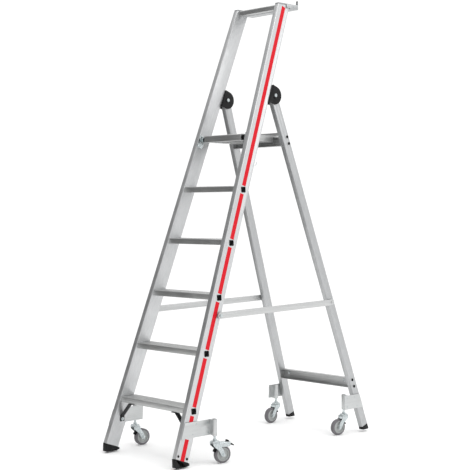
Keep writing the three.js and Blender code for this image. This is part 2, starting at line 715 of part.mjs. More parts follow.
// Plate on the outer face of a stile or leg, with a rib to the upright tube that houses the spring.
// `reach` is +1 for a front bracket, whose tube is outside and behind, and -1 for a rear bracket.
function makeBracket(name, side, stemX, stemY, reach, outer, taper, edge) {
  const low = tubeBottom + bracketMargin;
  const high = tubeTop - bracketMargin;
  const free = stemY + reach * bracketOverhang;
  const corners = [[edge(low), low], [free, low], [free, high], [edge(high), high]];
  const reachX = outer(low) + bracketPlate + over;
  const thick = profileX(corners, Math.min(0, side * reachX), Math.max(0, side * reachX));
  const tilt = Math.hypot(1, taper);
  const inside = (outer(0) + gap) / tilt;
  const plate = thick
    .trimByPlane([side / tilt, 0, taper / tilt], inside)
    .trimByPlane([-side / tilt, 0, -taper / tilt], -inside - bracketPlate);
  const faceX = side * (outer(low) + bracketPlate / 2);
  const axisX = side * stemX;
  const rib = block(
    [Math.min(faceX, axisX), stemY - bracketRib / 2, low],
    [Math.max(faceX, axisX), stemY + bracketRib / 2, high])
    .trimByPlane([side * reach / tilt, 0, reach * taper / tilt], reach > 0 ? inside : -inside - bracketPlate);
  const tube = barZ(tubeBottom, tubeTop, axisX, stemY, tubeRadius);
  const bore = barZ(tubeBottom - over, tubeTop - tubeCap, axisX, stemY, tubeBore);
  piece("castor_bracket_" + name, unite(plate, rib, tube).subtract(bore), aluminium);
}

// Stem with its upper race, nut and spring collar, all turned about the swivel axis.
function makeStem(name, group) {
  const outline = [
    [0, raceBottom], [crownRadius, raceBottom], [crownRadius, raceTop - raceChamfer[1]],
    [crownRadius - raceChamfer[0], raceTop],
    [stemNutRadius, raceTop], [stemNutRadius, raceTop + stemNutHeight], [stemRadius, raceTop + stemNutHeight],
    [stemRadius, stemTop], [stemCollarRadius, stemTop], [stemCollarRadius, stemTop + stemCollarHeight],
    [0, stemTop + stemCollarHeight],
  ];
  piece("castor_stem_" + name, turned(outline, 28), zinc, group);
}

class Helix extends THREE.Curve {
  getPoint(t, target = new THREE.Vector3()) {
    const turn = t * springTurns * 2 * Math.PI;
    const rise = springTop - springBottom - 2 * springWire;
    const z = springBottom + springWire + rise * t;
    return target.set(springRadius * Math.cos(turn), springRadius * Math.sin(turn), z);
  }
}

function makeSpring(name, group) {
  const section = new THREE.Shape();
  section.absarc(0, 0, springWire, 0, 2 * Math.PI);
  const geometry = new THREE.ExtrudeGeometry(section, {
    steps: springTurns * springSteps, curveSegments: 5, extrudePath: new Helix(), bevelEnabled: false,
  });
  piece("castor_spring_" + name, solid(geometry), zinc, group);
}

// Outline of a fork plate in [y, z]: the crown's side down to a round end at the axle.
function forkSide() {
  const shape = new THREE.Shape();
  const top = crownHeight + crownPlate;
  shape.moveTo(-forkHalfWidth, top);
  shape.lineTo(-forkHalfWidth, crownHeight - forkFrontDrop);
  shape.lineTo(trail - forkEar, wheelRadius);
  shape.absarc(trail, wheelRadius, forkEar, Math.PI, 2 * Math.PI);
  shape.lineTo(trail + forkEar, crownHeight - forkBackDrop);
  shape.lineTo(forkHalfWidth + forkFlare, top);
  return shape.getPoints(8).map((point) => [point.x, point.y]);
}

function makeFork(name, group, braked) {
  const crown = barZ(crownHeight, crownHeight + crownPlate, 0, 0, crownRadius, 40);
  const bridge = block(
    [-forkOuter, -forkHalfWidth, crownHeight],
    [forkOuter, forkHalfWidth + forkFlare, crownHeight + crownPlate]);
  const plates = [1, -1].map((side) => {
    const from = side > 0 ? forkInner : -forkOuter;
    return profileX(forkSide(), from, from + forkPlate);
  });
  const axle = barX(-forkOuter, forkOuter, trail, wheelRadius, axleRadius, 24);
  const head = (side) => barX(
    side * (forkOuter - over), side * (forkOuter + axleHeadHeight), trail, wheelRadius, axleHeadRadius, 6);
  const body = unite(crown, bridge, ...plates, axle, head(1), head(-1));
  piece("castor_fork_" + name, braked ? body.add(brakeHousing()) : body, zinc, group);
}

// Hood over the wheel that carries the brake pedal.
const pedalY = trail + hoodReach;
const pedalZ = crownHeight - pedalPinDrop;

function brakeHousing() {
  const start = forkHalfWidth;
  const end = pedalY + hoodMargin;
  const top = crownHeight + crownPlate;
  const roof = block([-forkOuter, start, crownHeight], [forkOuter, pedalY - hoodRoofSetback, top]);
  const cheek = (side) => {
    const from = side > 0 ? forkInner : -forkOuter;
    const outline = [
      [start, top], [start, crownHeight - hoodFrontDrop], [end - hoodCorner, crownHeight - hoodBackDrop],
      [end, crownHeight - hoodBackDrop + hoodCorner], [end, top],
    ];
    return profileX(outline, from, from + forkPlate);
  };
  const pin = barX(-forkOuter, forkOuter, pedalY, pedalZ, pedalPinRadius, 20);
  return unite(roof, cheek(1), cheek(-1), pin);
}

// Rocking pedal of the brake: a hub on the hood's pin with a raised heel and a lowered toe.
function makePedal(group) {
  const half = forkInner - runningGap;
  const hub = barX(-half, half, pedalY, pedalZ, pedalHubRadius, 24);
  const bore = barX(-half - over, half + over, pedalY, pedalZ, pedalPinRadius + gap, 20);
  const toe = profileX(
    [
      [pedalY, pedalZ - pedalThickness], [pedalY + pedalLength, pedalZ - pedalDip],
      [pedalY + pedalLength, pedalZ - pedalDip + pedalThickness], [pedalY, pedalZ + pedalThickness],
    ], -half, half);
  const foot = heelDepth / 2;
  const tip = foot * 0.75;
  const top = pedalZ + heelHeight;
  const heelSection = [
    [pedalY - foot, pedalZ], [pedalY + foot, pedalZ], [pedalY + tip, top], [pedalY - tip, top],
  ];
  const heel = profileX(heelSection, -half, half);
  piece("brake_pedal", unite(hub, toe, heel).subtract(bore), blackPlastic, group);
}

function makeWheel(name, group) {
  const half = wheelWidth / 2;
  const rim = wheelRadius - tyreThickness;
  const bore = axleRadius + runningGap;
  const web = half - hubDish;
  const hubOutline = [
    [bore, -hubHalf], [hubBoss, -hubHalf], [hubBoss, -web], [rim - hubRim - hubDish / 2, -web],
    [rim - hubRim, -half], [rim, -half], [rim, half], [rim - hubRim, half],
    [rim - hubRim - hubDish / 2, web], [hubBoss, web], [hubBoss, hubHalf], [bore, hubHalf],
  ];
  const edge = wheelRadius - over;
  const tyreOutline = [
    [rim + gap, -half], [wheelRadius - tyreShoulder, -half], [edge, tyreShoulder - half],
    [wheelRadius, tyreCrown - half], [wheelRadius, half - tyreCrown], [edge, half - tyreShoulder],
    [wheelRadius - tyreShoulder, half], [rim + gap, half],
  ];
  const wheel = new THREE.Group();
  wheel.position.set(0, trail, wheelRadius);
  wheel.rotation.y = Math.PI / 2;
  piece("castor_hub_" + name, turned(hubOutline, wheelSides), greyPlastic, wheel);
  piece("castor_tyre_" + name, turned(tyreOutline, wheelSides), greyRubber, wheel);
  group.add(wheel);
}

function makeCastor(name, side, stemX, stemY) {
  const stem = new THREE.Group();
  stem.position.set(side * stemX, stemY, 0);
  makeStem(name, stem);
  makeSpring(name, stem);
  const fork = new THREE.Group();
  fork.rotation.z = rad(swivels[name]);
  const braked = name === "front_right";
  makeFork(name, fork, braked);
  makeWheel(name, fork);
  if (braked) makePedal(fork);
  stem.add(fork);
  ladder.add(stem);
}

// ---------------------------------------------------------------- assembly
const sides = [["right", 1], ["left", -1]];

for (const [name, side] of sides) {
  makeStile(name, side);
  makeStileCap(name, side);
  makeShoe(name, side);
  makeBrace(name, side);
  makeHinge(name, side);
  makePlatformPlate(name, side);
  makeLeg(name, side);
  makeLegCap(name, side);
  makeStay(name, side);
  makeStayBolt(name, side);
  const frontEdge = (z) => frontY(z) + bracketMargin;
  const rearEdge = (z) => legY(z) + legRun / 2 - bracketMargin;
  makeBracket("front_" + name, side, frontStemX, frontStemY, 1, frontOuter, frontTaper, frontEdge);
  makeBracket("rear_" + name, side, rearStemX, rearStemY, -1, rearOuter, rearTaper, rearEdge);
  makeCastor("front_" + name, side, frontStemX, frontStemY);
  makeCastor("rear_" + name, side, rearStemX, rearStemY);
}

for (let number = 1; number <= treadCount; number += 1) makeTread(number);

makeCrossbar("lower", lowerBarTop, lowerBarHeight);
makeCrossbar("upper", upperBarTop, upperBarHeight);
makePlatform();
makePlatformRod();
makeTopBar();
makeTray();

export default ladder;
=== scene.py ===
# %% [markdown]
# # Rolling warehouse ladder
# An aluminium platform ladder on spring-mounted castors. The structure comes ready made from the CAD
# frame. This lesson gives every part its real finish, softens the edges of the extrusions, and models the
# small pieces that make it read as a real ladder: castors, plugs, rivets, stripes and a wire hook.

# %% Load the frame
import json
import math

import bpy
from mathutils import Matrix, Vector


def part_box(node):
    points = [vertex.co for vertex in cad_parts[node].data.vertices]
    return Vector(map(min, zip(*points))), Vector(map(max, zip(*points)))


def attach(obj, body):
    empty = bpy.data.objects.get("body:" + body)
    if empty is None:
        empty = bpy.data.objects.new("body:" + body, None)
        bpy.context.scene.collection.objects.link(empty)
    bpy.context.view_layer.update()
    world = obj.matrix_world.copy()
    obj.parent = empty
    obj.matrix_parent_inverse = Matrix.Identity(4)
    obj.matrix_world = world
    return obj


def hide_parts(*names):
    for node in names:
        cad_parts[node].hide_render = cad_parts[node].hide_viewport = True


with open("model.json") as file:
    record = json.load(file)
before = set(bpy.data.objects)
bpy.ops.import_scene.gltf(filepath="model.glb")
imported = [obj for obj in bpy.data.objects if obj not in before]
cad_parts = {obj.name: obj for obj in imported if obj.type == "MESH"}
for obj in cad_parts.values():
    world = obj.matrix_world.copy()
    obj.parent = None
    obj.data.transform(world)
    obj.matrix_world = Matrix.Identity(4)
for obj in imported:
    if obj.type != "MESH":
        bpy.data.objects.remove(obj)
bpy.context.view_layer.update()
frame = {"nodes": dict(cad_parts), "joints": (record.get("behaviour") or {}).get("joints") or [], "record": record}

joints = {joint["name"]: joint for joint in frame["joints"]}

# %% [markdown]
# ## Selection and placing
# Operators act on whatever is selected, so each piece starts from an empty selection. A finished piece
# keeps its place in its mesh, with the object itself at the origin, as the CAD nodes do.

# %% Helpers for selecting and placing
MM = 0.001
MERGE = 0.01 * MM  # vertices nearer than this are one


def deselect_all():
    if bpy.context.object and bpy.context.object.mode != "OBJECT":
        bpy.ops.object.mode_set(mode="OBJECT")
    bpy.ops.object.select_all(action="DESELECT")


def only(piece):
    deselect_all()
    piece.select_set(True)
    bpy.context.view_layer.objects.active = piece


def settle(piece):
    """Moves the piece's place, turn and size into its mesh."""
    only(piece)
    bpy.ops.object.transform_apply(location=True, rotation=True, scale=True)


def pick(piece, kind, test):
    """In edit mode, selects the faces, edges or vertices that pass the test."""
    bpy.ops.mesh.select_mode(type=kind)
    bpy.ops.mesh.select_all(action="DESELECT")
    bpy.ops.object.mode_set(mode="OBJECT")
    mesh = piece.data
    if kind == "FACE":
        for face in mesh.polygons:
            face.select = test(face.center, face.normal)
    elif kind == "EDGE":
        for edge in mesh.edges:
            edge.select = test(*(mesh.vertices[i].co for i in edge.vertices))
    else:
        for vertex in mesh.vertices:
            vertex.select = test(vertex.co)
    bpy.ops.object.mode_set(mode="EDIT")


def box(name, low, high):
    """A cube primitive set to its lowest and highest corners, given in millimetres."""
    deselect_all()
    middle = [(a + b) / 2 * MM for a, b in zip(low, high)]
    bpy.ops.mesh.primitive_cube_add(size=1, location=middle)
    piece = bpy.context.object
    piece.name = name
    piece.scale = [(b - a) * MM for a, b in zip(low, high)]
    settle(piece)
    return piece


def disc(name, radius, low, high, place=(0, 0, 0), axis="Z", sides=48):
    """A cylinder primitive from low to high along an axis, in millimetres."""
    deselect_all()
    turn = {"Z": (0, 0, 0), "X": (0, math.pi / 2, 0), "Y": (-math.pi / 2, 0, 0)}[axis]
    shift = {"Z": (0, 0, 1), "X": (1, 0, 0), "Y": (0, 1, 0)}[axis]
    middle = [(p + s * (low + high) / 2) * MM for p, s in zip(place, shift)]
    bpy.ops.mesh.primitive_cylinder_add(
        vertices=sides, radius=radius * MM, depth=(high - low) * MM, location=middle, rotation=turn)
    piece = bpy.context.object
    piece.name = name
    settle(piece)
    return piece


def round_edges(piece, width, segments=2, angle=35):
    """A Bevel modifier, applied, on every edge sharper than the angle."""
    only(piece)
    bevel = piece.modifiers.new("edge", "BEVEL")
    bevel.width = width * MM
    bevel.segments = segments
    bevel.limit_method = "ANGLE"
    bevel.angle_limit = math.radians(angle)
    bpy.ops.object.modifier_apply(modifier=bevel.name)


def smooth(piece, angle=35):
    only(piece)
    bpy.ops.object.shade_smooth_by_angle(angle=math.radians(angle))


def join(name, *pieces):
    deselect_all()
    for piece in pieces:
        piece.select_set(True)
    bpy.context.view_layer.objects.active = pieces[0]
    if len(pieces) > 1:
        bpy.ops.object.join()
    joined = bpy.context.object
    joined.name = name
    return joined


def copy_to(pattern, name, matrix, body, material):
    """A copy of a finished pattern with its own mesh, put in place and set riding on its body."""
    piece = pattern.copy()
    piece.data = pattern.data.copy()
    piece.name = name
    bpy.context.collection.objects.link(piece)
    piece.data.transform(matrix)
    return finish(piece, body, material)


def finish(piece, body, material):
    piece.data.materials.clear()
    piece.data.materials.append(material)
    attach(piece, body)
    return piece


# %% [markdown]
# ## Materials
# One function turns a hex colour to linear light and one adds a node. Every finish below is built from
# Object coordinates, so its grain stays fixed to the part and keeps its real size in millimetres.

# %% Material helpers
def colour(code):
    """An sRGB hex colour as linear red, green and blue with full alpha, by the standard sRGB curve."""
    def linear(value):
        return value / 12.92 if value <= 0.04045 else ((value + 0.055) / 1.055) ** 2.4

    return tuple(linear(int(code[i:i + 2], 16) / 255) for i in (1, 3, 5)) + (1.0,)


def new_material(name, base, metallic, roughness, **sockets):
    material = bpy.data.materials.new(name)
    material.use_nodes = True
    shader = material.node_tree.nodes["Principled BSDF"]
    shader.inputs["Base Color"].default_value = colour(base)
    shader.inputs["Metallic"].default_value = metallic
    shader.inputs["Roughness"].default_value = roughness
    for socket, value in sockets.items():
        shader.inputs[socket.replace("_", " ")].default_value = value
    return material


def add_node(material, kind, settings=None, values=None, links=None, shader=None):
    """Adds a node to a material or the world: its settings, its socket values, its links as
    {socket: (node, output)}, and the shader sockets that it drives as {shader socket: output}."""
    tree = material.node_tree
    node = tree.nodes.new(kind)
    for key, value in (settings or {}).items():
        setattr(node, key, value)
    for key, value in (values or {}).items():
        node.inputs[key].default_value = value
    for key, (source, output) in (links or {}).items():
        tree.links.new(source.outputs[output], node.inputs[key])
    for key, output in (shader or {}).items():
        tree.links.new(node.outputs[output], tree.nodes["Principled BSDF"].inputs[key])
    return node


# %% [markdown]
# ### One way to make a worn, grained surface
# No finish here is one flat colour. Noise stretched to the size of the grain tints the surface between
# two close colours and raises it a little, and slower clouds of noise vary the gloss, as handling does.
# Metals and mouldings differ only in the sizes, colours and gloss that go in.

# %% Grained finish
MIX_FACTOR, MIX_DARK, MIX_LIGHT, MIX_RESULT = 0, 6, 7, 2  # socket numbers of a Mix node set to colour
NOISE_LOW, NOISE_HIGH = 0.3, 0.7  # nearly all of the noise lies between these


def grained(name, grain, dark, light, gloss, relief, metallic=0.0, lean=0.0, cloud=60, **sockets):
    """grain is (x, y, z) millimetres, after a turn by lean; gloss is the lowest and highest roughness."""
    material = new_material(name, light, metallic, gloss[1], **sockets)
    where = add_node(material, "ShaderNodeTexCoord")
    turned = add_node(
        material, "ShaderNodeMapping", values={"Rotation": (lean, 0, 0)}, links={"Vector": (where, "Object")})
    sized = add_node(
        material, "ShaderNodeMapping", values={"Scale": [1 / (length * MM) for length in grain]},
        links={"Vector": (turned, "Vector")})
    lines = add_node(
        material, "ShaderNodeTexNoise", values={"Scale": 1.0, "Detail": 4.0, "Roughness": 0.6},
        links={"Vector": (sized, "Vector")})
    level = add_node(
        material, "ShaderNodeMapRange", values={"From Min": NOISE_LOW, "From Max": NOISE_HIGH},
        links={"Value": (lines, "Fac")})
    add_node(
        material, "ShaderNodeMix", {"data_type": "RGBA"}, {MIX_DARK: colour(dark), MIX_LIGHT: colour(light)},
        {MIX_FACTOR: (level, "Result")}, {"Base Color": MIX_RESULT})
    clouds = add_node(
        material, "ShaderNodeTexNoise", values={"Scale": 1 / (cloud * MM), "Detail": 2.0},
        links={"Vector": (where, "Object")})
    add_node(
        material, "ShaderNodeMapRange",
        values={"From Min": NOISE_LOW, "From Max": NOISE_HIGH, "To Min": gloss[0], "To Max": gloss[1]},
        links={"Value": (clouds, "Fac")}, shader={"Roughness": "Result"})
    add_node(
        material, "ShaderNodeBump", values={"Strength": 0.5, "Distance": relief * MM},
        links={"Height": (lines, "Fac")}, shader={"Normal": "Normal"})
    return material


# %% [markdown]
# ### Mill-finish aluminium
# Stiles, legs, treads and bars are 6060 aluminium drawn through a die and left bare. The die leaves fine
# lines along the length, so the grain is stretched many times along the part, and it is turned to lie
# along a sloping one. Real lines are finer than can show, so they are made about 1.5 mm wide. The tray is
# folded from sheet, which has no lines but a faint mottle.

# %% Aluminium
slope = math.radians(70.1)  # of the stiles from the floor
FOLD = joints["frame_fold"]["pos_m"]
LEG_FLOOR = 1.238  # Y of a leg's middle at the floor
leg_slope = math.atan2(FOLD[2], LEG_FLOOR - FOLD[1])
LINES_UP, LINES_ACROSS, LINES_BACK = (1.5, 1.5, 300), (300, 1.5, 1.5), (1.5, 300, 1.5)
SATIN = (0.34, 0.48)
METAL = dict(gloss=SATIN, relief=0.05, metallic=0.9)
stile_metal = grained(
    "drawn_aluminium_stile", LINES_UP, "#bfc0c1", "#d2d3d4", lean=math.pi / 2 - slope, **METAL)
# The legs get a darker copy of the same drawn aluminium: painted shade, standing in for the shade on the legs'
# outer faces.
leg_metal_painted_shade = grained(
    "drawn_aluminium_leg_painted_shade", LINES_UP, "#a9abac", "#c0c1c2", lean=leg_slope - math.pi / 2, **METAL)
tread_metal = grained("drawn_aluminium_tread", LINES_ACROSS, "#b0b1b1", "#c8c9c8", **METAL)
bar_metal = grained("drawn_aluminium_bar", LINES_ACROSS, "#acadad", "#c2c3c3", **METAL)
stay_metal = grained("drawn_aluminium_stay", LINES_BACK, "#b8b9b9", "#cdcece", **METAL)
bracket_metal = grained("drawn_aluminium_bracket", LINES_BACK, "#bcbebe", "#cacccc", **METAL)
tray_metal = grained("folded_aluminium_sheet", (9, 9, 9), "#a9abac", "#b9bbbc", **METAL)
print("aluminium finishes ready")

# %% [markdown]
# ### Zinc-plated steel
# Forks, stems, bolts and rods are pressed or turned steel with bright zinc: a cool, slightly blotchy
# shine with a faint spangle a few millimetres across.

# %% Zinc
zinc = grained(
    "bright_zinc_plated_steel", (6, 6, 6), "#aab2b4", "#d0d6d7", (0.2, 0.34), 0.04, metallic=1.0, cloud=14)
print("zinc ready")

# %% [markdown]
# ### Mouldings, powder coat, rubber and tape
# Shoes, hinge brackets, plugs and the pedal are glass-filled nylon with a fine spark-eroded texture of
# about half a millimetre, whose tiny pits swallow most of the shine, so its specular level is low. The
# braces are steel with a black powder coat, whose orange peel is about 1 mm. Tyres are grey non-marking
# rubber, hubs and caps are polypropylene, and the stripe is vinyl tape.

# %% Plastics, rubber and tape
SPARK = (0.5, 0.5, 0.5)
PEEL = (1, 1, 1)
black_nylon = grained(
    "moulded_black_nylon", SPARK, "#0d0d0e", "#161618", (0.42, 0.55), 0.05, Specular_IOR_Level=0.22)
plug_nylon = grained(
    "moulded_black_plug", SPARK, "#060607", "#0c0c0d", (0.42, 0.55), 0.05, Specular_IOR_Level=0.12)
powder_coat = grained(
    "black_powder_coat", PEEL, "#121214", "#1c1c1f", (0.36, 0.48), 0.05, Specular_IOR_Level=0.25)
hub_plastic = grained("moulded_grey_polypropylene", SPARK, "#9fa2a1", "#adb0af", (0.38, 0.52), 0.05)
cap_plastic = grained("moulded_grey_cap", SPARK, "#8d8f90", "#9a9c9d", (0.42, 0.55), 0.05)
tyre_rubber = grained(
    "grey_nonmarking_rubber", PEEL, "#686669", "#767477", (0.65, 0.8), 0.05, Specular_IOR_Level=0.3)
red_tape = grained(
    "red_vinyl_tape", (2, 2, 2), "#c8101f", "#d11a29", (0.34, 0.44), 0.01, Specular_IOR_Level=0.15)
print("plastic, rubber and tape ready")

# %% [markdown]
# ## Softening the CAD parts
# The CAD parts are exact, with razor edges. Real extrusions, mouldings and folded sheet have small radii
# that catch a line of light. Each such part is copied, its triangles are merged and its flat faces
# dissolved into clean polygons, and a narrow bevel rounds the edges. The copy then stands for the CAD
# part.

# %% Soften a part and give it its finish
EDGE_RADIUS = {  # in millimetres, by the start of a node's name
    "stile_cap": 1.5, "stile": 0.7, "rear_leg": 1.5, "tread_brace": 0.5, "tread": 0.6, "front_shoe": 1.5,
    "rear_foot": 2.5, "hinge_bracket": 0.9, "side_stay": 0.8, "tool_tray": 0.6, "platform_deck": 0.6,
    "platform_plate": 0.6, "top_bar": 0.9, "castor_bracket": 0.6, "crossbar": 0.6,
}
FINISHES = [  # the first name that fits is used
    ("stile_cap", cap_plastic, "grey_plastic"), ("stile", stile_metal, "aluminium"),
    ("rear_leg", leg_metal_painted_shade, "aluminium"), ("tread_brace", powder_coat, "black_steel"),
    ("tread", tread_metal, "aluminium"), ("crossbar", bar_metal, "aluminium"),
    ("top_bar", bar_metal, "aluminium"), ("platform_deck", tread_metal, "aluminium"),
    ("side_stay", stay_metal, "aluminium"), ("tool_tray", tray_metal, "tray_sheet"),
    ("castor_bracket", bracket_metal, "aluminium"), ("front_shoe", black_nylon, "black_plastic"),
    ("rear_foot", black_nylon, "black_plastic"), ("hinge_bracket", black_nylon, "black_plastic"),
    ("brake_pedal", black_nylon, "black_plastic"), ("castor_hub", hub_plastic, "grey_plastic"),
    ("castor_tyre", tyre_rubber, "grey_rubber"), ("", zinc, "zinc_steel"),
]
BODY_OF = {node: body for body, nodes in frame["record"]["behaviour"]["bodies"].items() for node in nodes}


SHARP = 40  # degrees between faces, from which an edge is rounded
FLAT = 0.5  # degrees between triangles, up to which they are one face


def softened(name, radius, material):
    node = frame["nodes"][name]
    piece = node.copy()
    piece.data = node.data.copy()
    piece.parent = None
    piece.matrix_world = node.matrix_world
    piece.name = name + "_soft"
    bpy.context.collection.objects.link(piece)
    settle(piece)
    bpy.ops.object.mode_set(mode="EDIT")
    bpy.ops.mesh.select_all(action="SELECT")
    bpy.ops.mesh.remove_doubles(threshold=MERGE)
    bpy.ops.mesh.dissolve_limited(angle_limit=math.radians(FLAT))
    bpy.ops.object.mode_set(mode="OBJECT")
    round_edges(piece, radius, angle=SHARP)
    smooth(piece, SHARP)
    finish(piece, BODY_OF[name], material)
    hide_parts(name)


def dress(name, node):
    material, slot = next((m, kind) for start, m, kind in FINISHES if name.startswith(start))
    node.data.materials.clear()
    node.data.materials.append(material)
    radius = next((width for start, width in EDGE_RADIUS.items() if name.startswith(start)), None)
    if radius:
        softened(name, radius, material)


for node_name, node in frame["nodes"].items():
    dress(node_name, node)
print("dressed", len(frame["nodes"]), "CAD parts")

# %% [markdown]
# ## Places on the sloping sides
# Plugs, rivets and stripes sit on the outer faces of the stiles and legs. A place there is a depth from
# the front edge and a length up the side, so one function turns those into a matrix whose Z axis points
# out of the face and whose Y axis runs up the side.

# %% Matrices on the faces of stiles and legs
STILE_HALF = 0.248  # X of a stile's outer face at the floor
STILE_TAPER = 0.0494  # how far a stile leans in for each unit of height
LEG_HALF = 0.2586
HINGE_HEIGHT = 1.603  # where a leg's outer face meets the plane of the stile's
LEG_DEPTH = 41
THICK = 24  # from the outer to the inner face of a stile or leg
LEG_RUN = LEG_DEPTH * MM / math.sin(leg_slope)  # depth of a leg, measured level
STILE = {"half": STILE_HALF, "taper": STILE_TAPER, "start": 0.0, "lean": 1 / math.tan(slope), "thick": THICK}
LEG = {
    "half": LEG_HALF, "taper": (LEG_HALF - STILE_HALF + STILE_TAPER * HINGE_HEIGHT) / HINGE_HEIGHT,
    "start": LEG_FLOOR - LEG_RUN / 2, "lean": -1 / math.tan(leg_slope), "thick": THICK,
}


def side_axes(bar, side):
    up = Vector((-side * bar["taper"], bar["lean"], 1)).normalized()
    out = Vector((side, 0, bar["taper"])).normalized()
    back = (up.cross(out) * side).normalized()
    return up, out, back


def on_side(bar, side, depth, along, proud=0.0, inner=False):
    """A place depth mm behind the front edge and along mm up the side, standing proud mm off the face."""
    up, out, back = side_axes(bar, side)
    start = Vector((side * bar["half"], bar["start"], 0))
    off = -bar["thick"] - proud if inner else proud
    place = start + (back * depth + up * along + out * off) * MM
    normal = -out if inner else out
    across = up.cross(normal)
    return Matrix.Translation(place) @ Matrix((across, up, normal)).transposed().to_4x4()


def along_at(bar, height):
    """Length up the side at which its front edge reaches a height in millimetres."""
    return height * math.sqrt(1 + bar["lean"] ** 2 + bar["taper"] ** 2)


print("stile axis", [round(v, 4) for v in side_axes(STILE, 1)[0]])

# %% [markdown]
# ## Tread plugs
# Each tread is fixed by a moulded square plug that shows on the stile's outer face, level with the tread.
# It is a shallow box with rounded corners and a dished middle, so it is a cube with its upright edges
# bevelled and its top inset.

# %% Places given by depth and height
def level_place(bar, side, y, z, proud=0.0, inner=False):
    """A place on a side at y, z millimetres, turned so that its Y axis is as upright as the face allows."""
    front = bar["start"] / MM + bar["lean"] * z
    up, out, back = side_axes(bar, side)
    depth = (y - front) * abs(back.y)
    along = (z - depth * back.z) / up.z
    spot = on_side(bar, side, depth, along, proud, inner)
    normal = spot.to_3x3().col[2]
    upright = (Vector((0, 0, 1)) - normal * normal.z).normalized()
    turned = Matrix((upright.cross(normal), upright, normal)).transposed().to_4x4()
    return Matrix.Translation(spot.translation) @ turned


# %% Square tread plug
PLUG = 25
PLUG_PROUD = 1.6
PLUG_FOOT = 1.0  # sunk below the face
PLUG_CORNER = 3
PLUG_LIP = 3
PLUG_DISH = 0.9  # depth of the dished middle
PLUG_SLANT = 0.8  # width of the dish's wall
RECESS = 1.2  # of the outer face between the stile's lips
SIDES = (("right", 1), ("left", -1))


def square_plug():
    half = PLUG / 2
    piece = box("plug_pattern", (-half, -half, -PLUG_FOOT), (half, half, PLUG_PROUD))
    bpy.ops.object.mode_set(mode="EDIT")
    pick(piece, "EDGE", lambda a, b: abs(a.z - b.z) > 1 * MM)
    bpy.ops.mesh.bevel(offset=PLUG_CORNER * MM, segments=4, affect="EDGES")
    pick(piece, "FACE", lambda centre, normal: normal.z > 0.9)
    bpy.ops.mesh.inset(thickness=PLUG_LIP * MM, depth=0)
    bpy.ops.mesh.inset(thickness=PLUG_SLANT * MM, depth=-PLUG_DISH * MM)
    bpy.ops.object.mode_set(mode="OBJECT")
    round_edges(piece, 0.4)
    return piece


PLUG_SETBACK = 42  # of a plug's middle behind the stile's front edge, measured level
PLUG_DROP = 17  # of its middle below the tread's top
plug_heights = [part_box(f"tread_{number}")[1][2] / MM - PLUG_DROP for number in range(1, 6)]
plug = square_plug()
for number, height in enumerate(plug_heights, 1):
    for side_name, side in SIDES:
        place = level_place(STILE, side, height * STILE["lean"] + PLUG_SETBACK, height, -RECESS)
        copy_to(plug, f"tread_plug_{number}_{side_name}", place, "front_frame", plug_nylon)
bpy.data.objects.remove(plug)
print("plug heights", [round(height) for height in plug_heights])

# %% [markdown]
# ## Stripes
# A band of red vinyl tape runs down the recess of each stile's outer face. It is laid in lengths between
# the plugs and round the castor bracket, so each length is a thin plate with rounded corners.

# %% Red tape
TAPE_WIDTH = 22
TAPE_THICK = 0.25
TAPE_DEPTH = 37  # of the tape's middle behind the stile's front edge, square to it
TAPE_GAP = 5  # between the tape and a plug
TAPE_FOOT_GAP = 12  # from the stile's lower end
TAPE_TOP_GAP = 11  # from its upper end
TAPE_LOW_GAP = 1  # below the castor bracket
PLATE_DROP = 3  # of the bracket's plate, where the tape meets it, below the bracket's top


def tape(start, stop):
    piece = box("tape", (-TAPE_WIDTH / 2, start, 0), (TAPE_WIDTH / 2, stop, TAPE_THICK))
    bpy.ops.object.mode_set(mode="EDIT")
    pick(piece, "EDGE", lambda a, b: abs(a.z - b.z) > TAPE_THICK * MM / 2)
    bpy.ops.mesh.bevel(offset=1 * MM, segments=3, affect="EDGES")
    bpy.ops.object.mode_set(mode="OBJECT")
    return piece


bracket_low, bracket_high = (corner[2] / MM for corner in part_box("castor_bracket_front_right"))
stile_low, stile_high = (corner[2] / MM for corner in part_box("stile_right"))
room = PLUG / 2 + TAPE_GAP
stops = [(stile_low + TAPE_FOOT_GAP, bracket_low - TAPE_LOW_GAP)]
stops += [(bracket_high - PLATE_DROP, plug_heights[0] - room)]
stops += [(a + room, b - room) for a, b in zip(plug_heights, plug_heights[1:])]
stops += [(plug_heights[-1] + room, stile_high - TAPE_TOP_GAP)]
shift = TAPE_DEPTH * math.cos(slope)  # the tape's middle lies lower than the front edge by this
for side_name, side in SIDES:
    lengths = [tape(along_at(STILE, low) + shift, along_at(STILE, high) + shift) for low, high in stops]
    piece = join(f"stripe_{side_name}", *lengths)
    piece.data.transform(on_side(STILE, side, TAPE_DEPTH, 0, proud=-RECESS))
    finish(piece, "front_frame", red_tape)
print("lengths of tape", [round(high - low) for low, high in stops])

# %% [markdown]
# ## Rivets and plugs
# Blind rivets hold the brackets, shoes and plates, and round nylon plugs close the crossbar holes in the
# legs. A rivet head is a low cylinder with a wide rounded edge and a small dimple where the mandrel
# snapped off.

# %% Rivet and plug patterns
DIMPLE_WALL = 0.25  # width of the dimple's wall, as a share of its radius
DIMPLE_DEPTH = 0.35  # as a share of the head's height
HEAD_ROUND = 0.55  # the rounded edge, as a share of the head's height


def button(name, radius, height, dimple, foot=0.6):
    piece = disc(name, radius, -foot, height, sides=24)
    bpy.ops.object.mode_set(mode="EDIT")
    pick(piece, "FACE", lambda centre, normal: normal.z > 0.9)
    bpy.ops.mesh.inset(thickness=(radius - dimple) * MM, depth=0)
    bpy.ops.mesh.inset(thickness=dimple * DIMPLE_WALL * MM, depth=-height * DIMPLE_DEPTH * MM)
    bpy.ops.object.mode_set(mode="OBJECT")
    round_edges(piece, height * HEAD_ROUND, segments=3)
    smooth(piece)
    return piece


